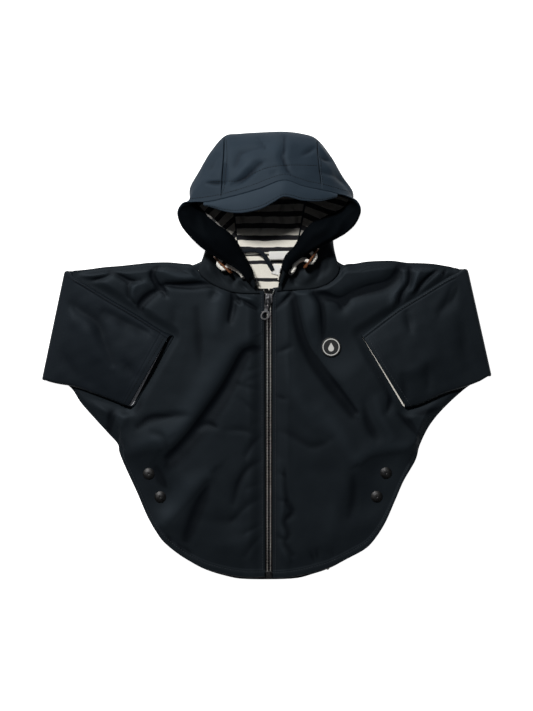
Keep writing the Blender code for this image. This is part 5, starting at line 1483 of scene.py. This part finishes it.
# A near-black copy of the nickel: on the teeth's heads it is painted shade between the bright bars; the box
# takes it too.
dark_nickel = metal_finish("dark_nickel", (0.02, 0.02, 0.021), (0.06, 0.06, 0.062), 0.45)
pull_nickel = metal_finish("worn_nickel", (0.085, 0.085, 0.09), (0.27, 0.27, 0.285), 0.4)
black_tape = woven_tape_finish("black_woven_tape", (0.0015, 0.0018, 0.002), (0.005, 0.0055, 0.006))
for side_name, side in (("left", -1.0), ("right", 1.0)):
    y = np.linspace(ZIP_BOTTOM, ZIP_TOP, 300)
    parted = side * SPREAD_SLOPE * np.maximum(y - SPREAD_FROM, 0.0)
    across = np.linspace(SEAM / 2.0, TAPE_WIDTH, 12)
    x = ZIP_X + side * across[None, :] + parted[:, None]
    z = TAPE_Z + TAPE_WALL + 0.0 * x
    lie = 0.12 * ripple(x, y[:, None] * np.ones_like(x), 30.0, 51)
    top = np.dstack([x, y[:, None] * np.ones_like(x), z + np.minimum(lie, 0.0)])
    tape = shell(
        "zip_woven_tape_" + side_name, top, top - (0.0, 0.0, TAPE_WALL - 0.2), black_tape, cloth_spread(top)
    )
    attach(tape, "coat")
    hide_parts("zip_tape_" + side_name)
    z = TEETH_Z + TEETH_HEIGHT / 2.0
    last_tooth = ZIP_BOTTOM + TEETH_FOOT
    closed_row = [(ZIP_X + side * BAR_OFF, y, z) for y in (SLIDER_FOOT, last_tooth)]
    open_row = [(ZIP_X + side * off, y, height) for off, y, height in OPEN_ROW]
    bars = set_along("zip_bars_" + side_name, [closed_row, open_row], BAR_SIZE, TOOTH_PITCH, nickel)
    shift = TOOTH_PITCH / 2.0 if side > 0 else 0.0
    middle = [(ZIP_X + side * HEAD_OFF, y, z - 0.1) for y in (SLIDER_FOOT - shift, last_tooth)]
    heads = set_along("zip_heads_" + side_name, [middle], HEAD_SIZE, TOOTH_PITCH, dark_nickel)
    for piece in (bars, heads):
        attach(piece, "coat")
        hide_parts("zip_teeth_" + side_name)

# The pull's plate: across and along from its pin
PLATE_HALF = (
    (0.0, 1.3), (1.9, 1.2), (3.0, 0.5), (3.4, -0.9), (3.35, -5.0), (3.2, -9.4), (2.5, -12.2), (2.15, -14.2),
    (2.5, -15.9), (4.2, -17.4), (5.4, -19.6), (5.7, -21.8), (5.1, -24.2), (3.6, -26.1), (1.7, -27.0),
    (0.0, -27.2),
)
SLOT_HALF = ((0.0, -1.1), (1.1, -1.2), (1.7, -1.8), (1.75, -5.0), (1.5, -8.6), (0.9, -9.5), (0.0, -9.6))
RING_HOLE, RING_RADIUS = -21.5, 3.9
PLATE_WALL = 1.3
PLATE_DROP = 1.6


def mirrored(half):
    half = list(half)
    return half + [(-x, y) for x, y in half[1:-1]][::-1]


def stamped_plate(name, outlines, wall, edge, bend, place, material):
    """A flat plate cut to outlines (the first round it, the rest holes), bent down by bend(y)."""
    curve = bpy.data.curves.new(name, "CURVE")
    curve.dimensions, curve.fill_mode = "2D", "BOTH"
    curve.extrude, curve.bevel_depth, curve.bevel_resolution = (wall / 2.0 - edge) * MM, edge * MM, 3
    curve.offset = -edge * MM
    for outline in outlines:
        closed = along([*outline, outline[0]], 90)[:-1]
        add_run(curve, [(x, y, 0.0) for x, y in closed]).use_cyclic_u = True
    mesh = baked(add_object(name, curve), name)
    shape = bmesh.new()
    shape.from_mesh(mesh)
    bmesh.ops.remove_doubles(shape, verts=shape.verts, dist=0.000005)
    bmesh.ops.recalc_face_normals(shape, faces=shape.faces)
    for vert in shape.verts:
        x, y, z = vert.co / MM
        vert.co = Vector((place[0] + x + y * PULL_SKEW, place[1] + y, place[2] + z + bend(y))) * MM
    shape.to_mesh(mesh)
    shape.free()
    mesh.materials.clear()
    mesh.materials.append(material)
    return add_object(name, mesh)


angles = np.linspace(0.0, 2.0 * math.pi, 40, endpoint=False)
ring_hole = [(RING_RADIUS * math.cos(a), RING_HOLE + RING_RADIUS * math.sin(a)) for a in angles]
pull = stamped_plate(
    "zip_pull_plate", [mirrored(PLATE_HALF), mirrored(SLOT_HALF), ring_hole], PLATE_WALL, 0.35,
    lambda y: -PLATE_DROP * float(ease(-y / 13.0)), PULL_AXIS, pull_nickel,
)
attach(pull, "pull_tab")
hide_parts("zip_pull")
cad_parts["zip_slider"].data.materials[0] = pull_nickel
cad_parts["zip_box"].data.materials[0] = dark_nickel

# ------------------------------------------------------------------------------------------
# Stitches: one row of short navy stitches along each topstitched edge and seam.
# Each row lies in the seam's pressed line; the thread is a shade shinier than the cloth. Its paler navy copy
# is painted sheen, its black copy painted shade.
# ------------------------------------------------------------------------------------------
STITCH_PITCH = 3.3
STITCH_SIZE = (2.4, 0.8, 0.5)
STITCH_UNEVEN = 0.12
STITCH_RISE = 0.05
ZIP_STITCH = 3.0       # the row beside the zip, from the front's edge
HEM_STITCH = HEM_WIDTH - 1.2
PEAK_STITCH = 0.82     # the peak's row, as a share of the way to its free edge


def thread_finish(name, dark, light):
    finish = Finish(name)
    twist = finish.noise(2200.0, 2.0)
    tone = finish.mix(twist, dark, light)
    relief = finish.bump(twist, 0.05)
    return finish.done(Base_Color=tone, Roughness=0.75, Specular_IOR_Level=0.2, Normal=relief)


def line_at(grid, distances, at):
    """The line across a grid's rows where the distance from one of its edges is at."""
    line = []
    for points, run in zip(grid, distances):
        order = np.argsort(run)
        line.append([np.interp(at, run[order], points[order, k]) for k in range(3)])
    return np.array(line) + (0.0, 0.0, STITCH_RISE)


def dropped(points, trees):
    """Points of a plan line laid down on the uppermost of some pieces."""
    line = []
    for x, y in along(points, max(12, int(run_of(np.asarray(points, float))[-1] / 2.0))):
        hits = [tree.ray_cast(Vector((x * MM, y * MM, 0.2)), Vector((0.0, 0.0, -1.0)))[0] for tree in trees]
        heights = [hit.z / MM for hit in hits if hit is not None]
        if heights:
            line.append((x, y, max(heights) + STITCH_RISE))
    return np.array(line)


def surface(*pieces):
    """Trees for laying lines on pieces."""
    made = []
    for piece in pieces:
        mesh = piece.data
        corners = [vert.co for vert in mesh.vertices]
        made.append(BVHTree.FromPolygons(corners, [tuple(face.vertices) for face in mesh.polygons]))
    return made


# One navy thread in two copies: a paler one, painted sheen, and a black one, painted shade.
navy_thread_painted_sheen = thread_finish("navy_thread_painted_sheen", (0.015, 0.019, 0.024), (0.038, 0.046, 0.055))
thread_painted_shade = thread_finish("thread_painted_shade", (0.001, 0.0015, 0.002), (0.003, 0.004, 0.005))
stitched = {}
for side_name in ("left", "right"):
    grid, from_zip, from_top, from_foot, row, _ = front_grids[side_name]
    hem = row[:, 0] < HEM_ROWS
    lines = [line_at(grid[hem], from_foot[hem], HEM_STITCH)]
    by_zip = np.swapaxes(grid, 0, 1)[6:-9]
    lines.append(line_at(by_zip, np.swapaxes(from_zip, 0, 1)[6:-9], ZIP_STITCH))
    stitched["front_" + side_name] = lines
# Each sleeve's cuff and its top seam
SLEEVE_STITCHES = {
    "left": (
        ((-127.5, 22.5), (-153, -20), (-177.5, -60.5)),
        ((-249.5, 98.5), (-225.5, 85.5), (-195.5, 67), (-166.5, 50), (-134, 29.5)),
    ),
    "right": (
        ((125.5, 23), (150, -18), (179.5, -62)),
        ((237.5, 99), (222, 91.5), (193.5, 73.5), (165.5, 56), (128.5, 31)),
    ),
}
for side_name, lines in SLEEVE_STITCHES.items():
    sleeve_tree = surface(bpy.data.objects["folded_sleeve_" + side_name])
    stitched["sleeve_" + side_name] = [dropped(line, sleeve_tree) for line in lines]
hood_trees = surface(*hood_pieces.values())
# The crown's two seams, the line across it and the one over the peak
HOOD_STITCHES = (
    ((-50, 266), (-48.5, 247), (-50, 226), (-52, 206), (-56, 197)),
    ((62, 262), (64, 249), (67, 238), (67, 226), (69.5, 210)),
    (
        (-68, 213.5), (-51, 214), (-34.5, 214.5), (-7, 227), (5.5, 230.5), (26.5, 233), (66.5, 233),
    ),
    (
        (-104, 192.5), (-78, 194.5), (-57, 197.5), (-37, 202.5), (-16, 209), (3, 216.5),
        (18, 221), (22.5, 221.5), (29, 220.5), (50.5, 213.5), (69.5, 210), (88, 205.5), (102, 202),
    ),
)
stitched["hood"] = [dropped(line, hood_trees) for line in HOOD_STITCHES]
peak_row = peak_top[4:-4, int(PEAK_STITCH * PEAK_STEPS)]
stitched["peak"] = [peak_row + (0.0, 0.0, STITCH_RISE)]
for name, lines in stitched.items():
    on_body = name.startswith(("front", "sleeve"))
    # Fronts and the right sleeve take the painted sheen thread; the hood, the peak and the left sleeve the
    # painted shade thread.
    thread = navy_thread_painted_sheen if on_body and name != "sleeve_left" else thread_painted_shade
    stitches = set_along("stitches_" + name, lines, STITCH_SIZE, STITCH_PITCH, thread, vary=STITCH_UNEVEN)
    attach(stitches, "coat")

# ------------------------------------------------------------------------------------------
# Snaps, badge and eyelets: gunmetal snap caps and nickel rings, and a round rubber badge.
# The badge is riveted through the right front; it bears a raised ring and a plain raindrop.
# ------------------------------------------------------------------------------------------
RING_INNER, RING_OUTER = (9.35, 9.55), (10.55, 10.75)  # radii the badge's ring fades in and out over
snap_metal = metal_finish("gunmetal_plating", (0.022, 0.022, 0.024), (0.06, 0.06, 0.061), 0.5)
rubber, pale_rubber = Finish("black_rubber"), Finish("pale_rubber")
badge_points = np.array([vert.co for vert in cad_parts["badge"].data.vertices])
badge_middle = (badge_points.min(axis=0) + badge_points.max(axis=0)) / 2.0
axes = np.argsort(badge_points.max(axis=0) - badge_points.min(axis=0))[1:]
offs = [rubber.split(rubber.place())[k] - float(badge_middle[k]) for k in axes]
from_middle = (offs[0] * offs[0] + offs[1] * offs[1]).root() / MM
on_ring = from_middle.between(*RING_INNER) * (1.0 - from_middle.between(*RING_OUTER))
grain, pale_grain = (finish.noise(1200.0, 2.0) for finish in (rubber, pale_rubber))
black = rubber.mix(grain, (0.004, 0.005, 0.006), (0.010, 0.011, 0.013))
black_rubber = rubber.done(
    Base_Color=rubber.mix(on_ring, black, (0.62, 0.62, 0.60)), Roughness=0.5, Normal=rubber.bump(grain, 0.03),
)
pale_print = pale_rubber.done(
    Base_Color=pale_rubber.mix(pale_grain, (0.56, 0.56, 0.54), (0.68, 0.68, 0.66)), Roughness=0.6,
    Normal=pale_rubber.bump(pale_grain, 0.03),
)
for node, material in (
    ("snap_left_upper", snap_metal), ("snap_left_lower", snap_metal), ("snap_right_upper", snap_metal),
    ("snap_right_lower", snap_metal), ("badge", black_rubber), ("badge_drop", pale_print),
    ("eyelet_left", nickel), ("eyelet_right", nickel),
):
    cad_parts[node].data.materials[0] = material

# ------------------------------------------------------------------------------------------
# Hanging loop and labels at the back of the neck: a folded navy tape, two bare white labels.
# The loop's ends are caught in the neck seam; it stands up off the lining between them.
# ------------------------------------------------------------------------------------------
LOOP_ROUTE = (
    (-33, 127.5, 7.4), (-27, 130, 8.8), (-15, 131, 9.4), (-6.5, 128, 9.2), (0, 120.5, 8.6),
    (4.5, 112.5, 6.6), (8, 106, 5.1),
)
LOOP_WIDTHS, LOOP_WALL = (3.4, 3.4, 3.6, 4.4, 5.0, 5.2, 4.4), 1.0


def ribbon(name, route, width, wall, material, count=60, steps=9):
    """A flat tape along a route, a little cupped across; width is one number or one for each point."""
    line = along(route, count)
    width = np.interp(np.linspace(0.0, 1.0, count), np.linspace(0.0, 1.0, np.size(width)), np.ravel(width))
    run = np.gradient(line[:, :2], axis=0)
    run /= np.linalg.norm(run, axis=1, keepdims=True)
    side = np.stack([-run[:, 1], run[:, 0], np.zeros(len(run))], axis=1)
    across = np.linspace(-0.5, 0.5, steps)
    top = line[:, None] + side[:, None] * (across * width[:, None])[..., None]
    top[..., 2] += wall / 2.0 + 0.25 * (1.0 - (2.0 * across) ** 2)[None, :]
    return shell(name, top, top - (0.0, 0.0, wall), material, cloth_spread(top))


navy_tape = woven_tape_finish("navy_woven_tape", (0.004, 0.006, 0.010), (0.012, 0.016, 0.022))
loop = ribbon("neck_hanging_tape", LOOP_ROUTE, LOOP_WIDTHS, LOOP_WALL, navy_tape)
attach(loop, "coat")
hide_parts("hanging_loop")
label_white = woven_tape_finish("white_woven_label", (0.78, 0.78, 0.76), (0.88, 0.88, 0.87))
for name, route, width, flat in (
    ("neck_label", ((3.4, 124.4, 7.1), (19.2, 124.8, 7.0), (35.0, 125.0, 7.1)), 10.0, (0.032, 0.010)),
    ("size_label", ((7.7, 108.5, 4.0), (14.5, 106.5, 4.2), (21.2, 104.6, 4.0)), 12.5, (0.014, 0.0125)),
):
    label = ribbon("bare_" + name, route, width, 0.8, label_white, 24)
    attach(label, "coat")
    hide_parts(name)
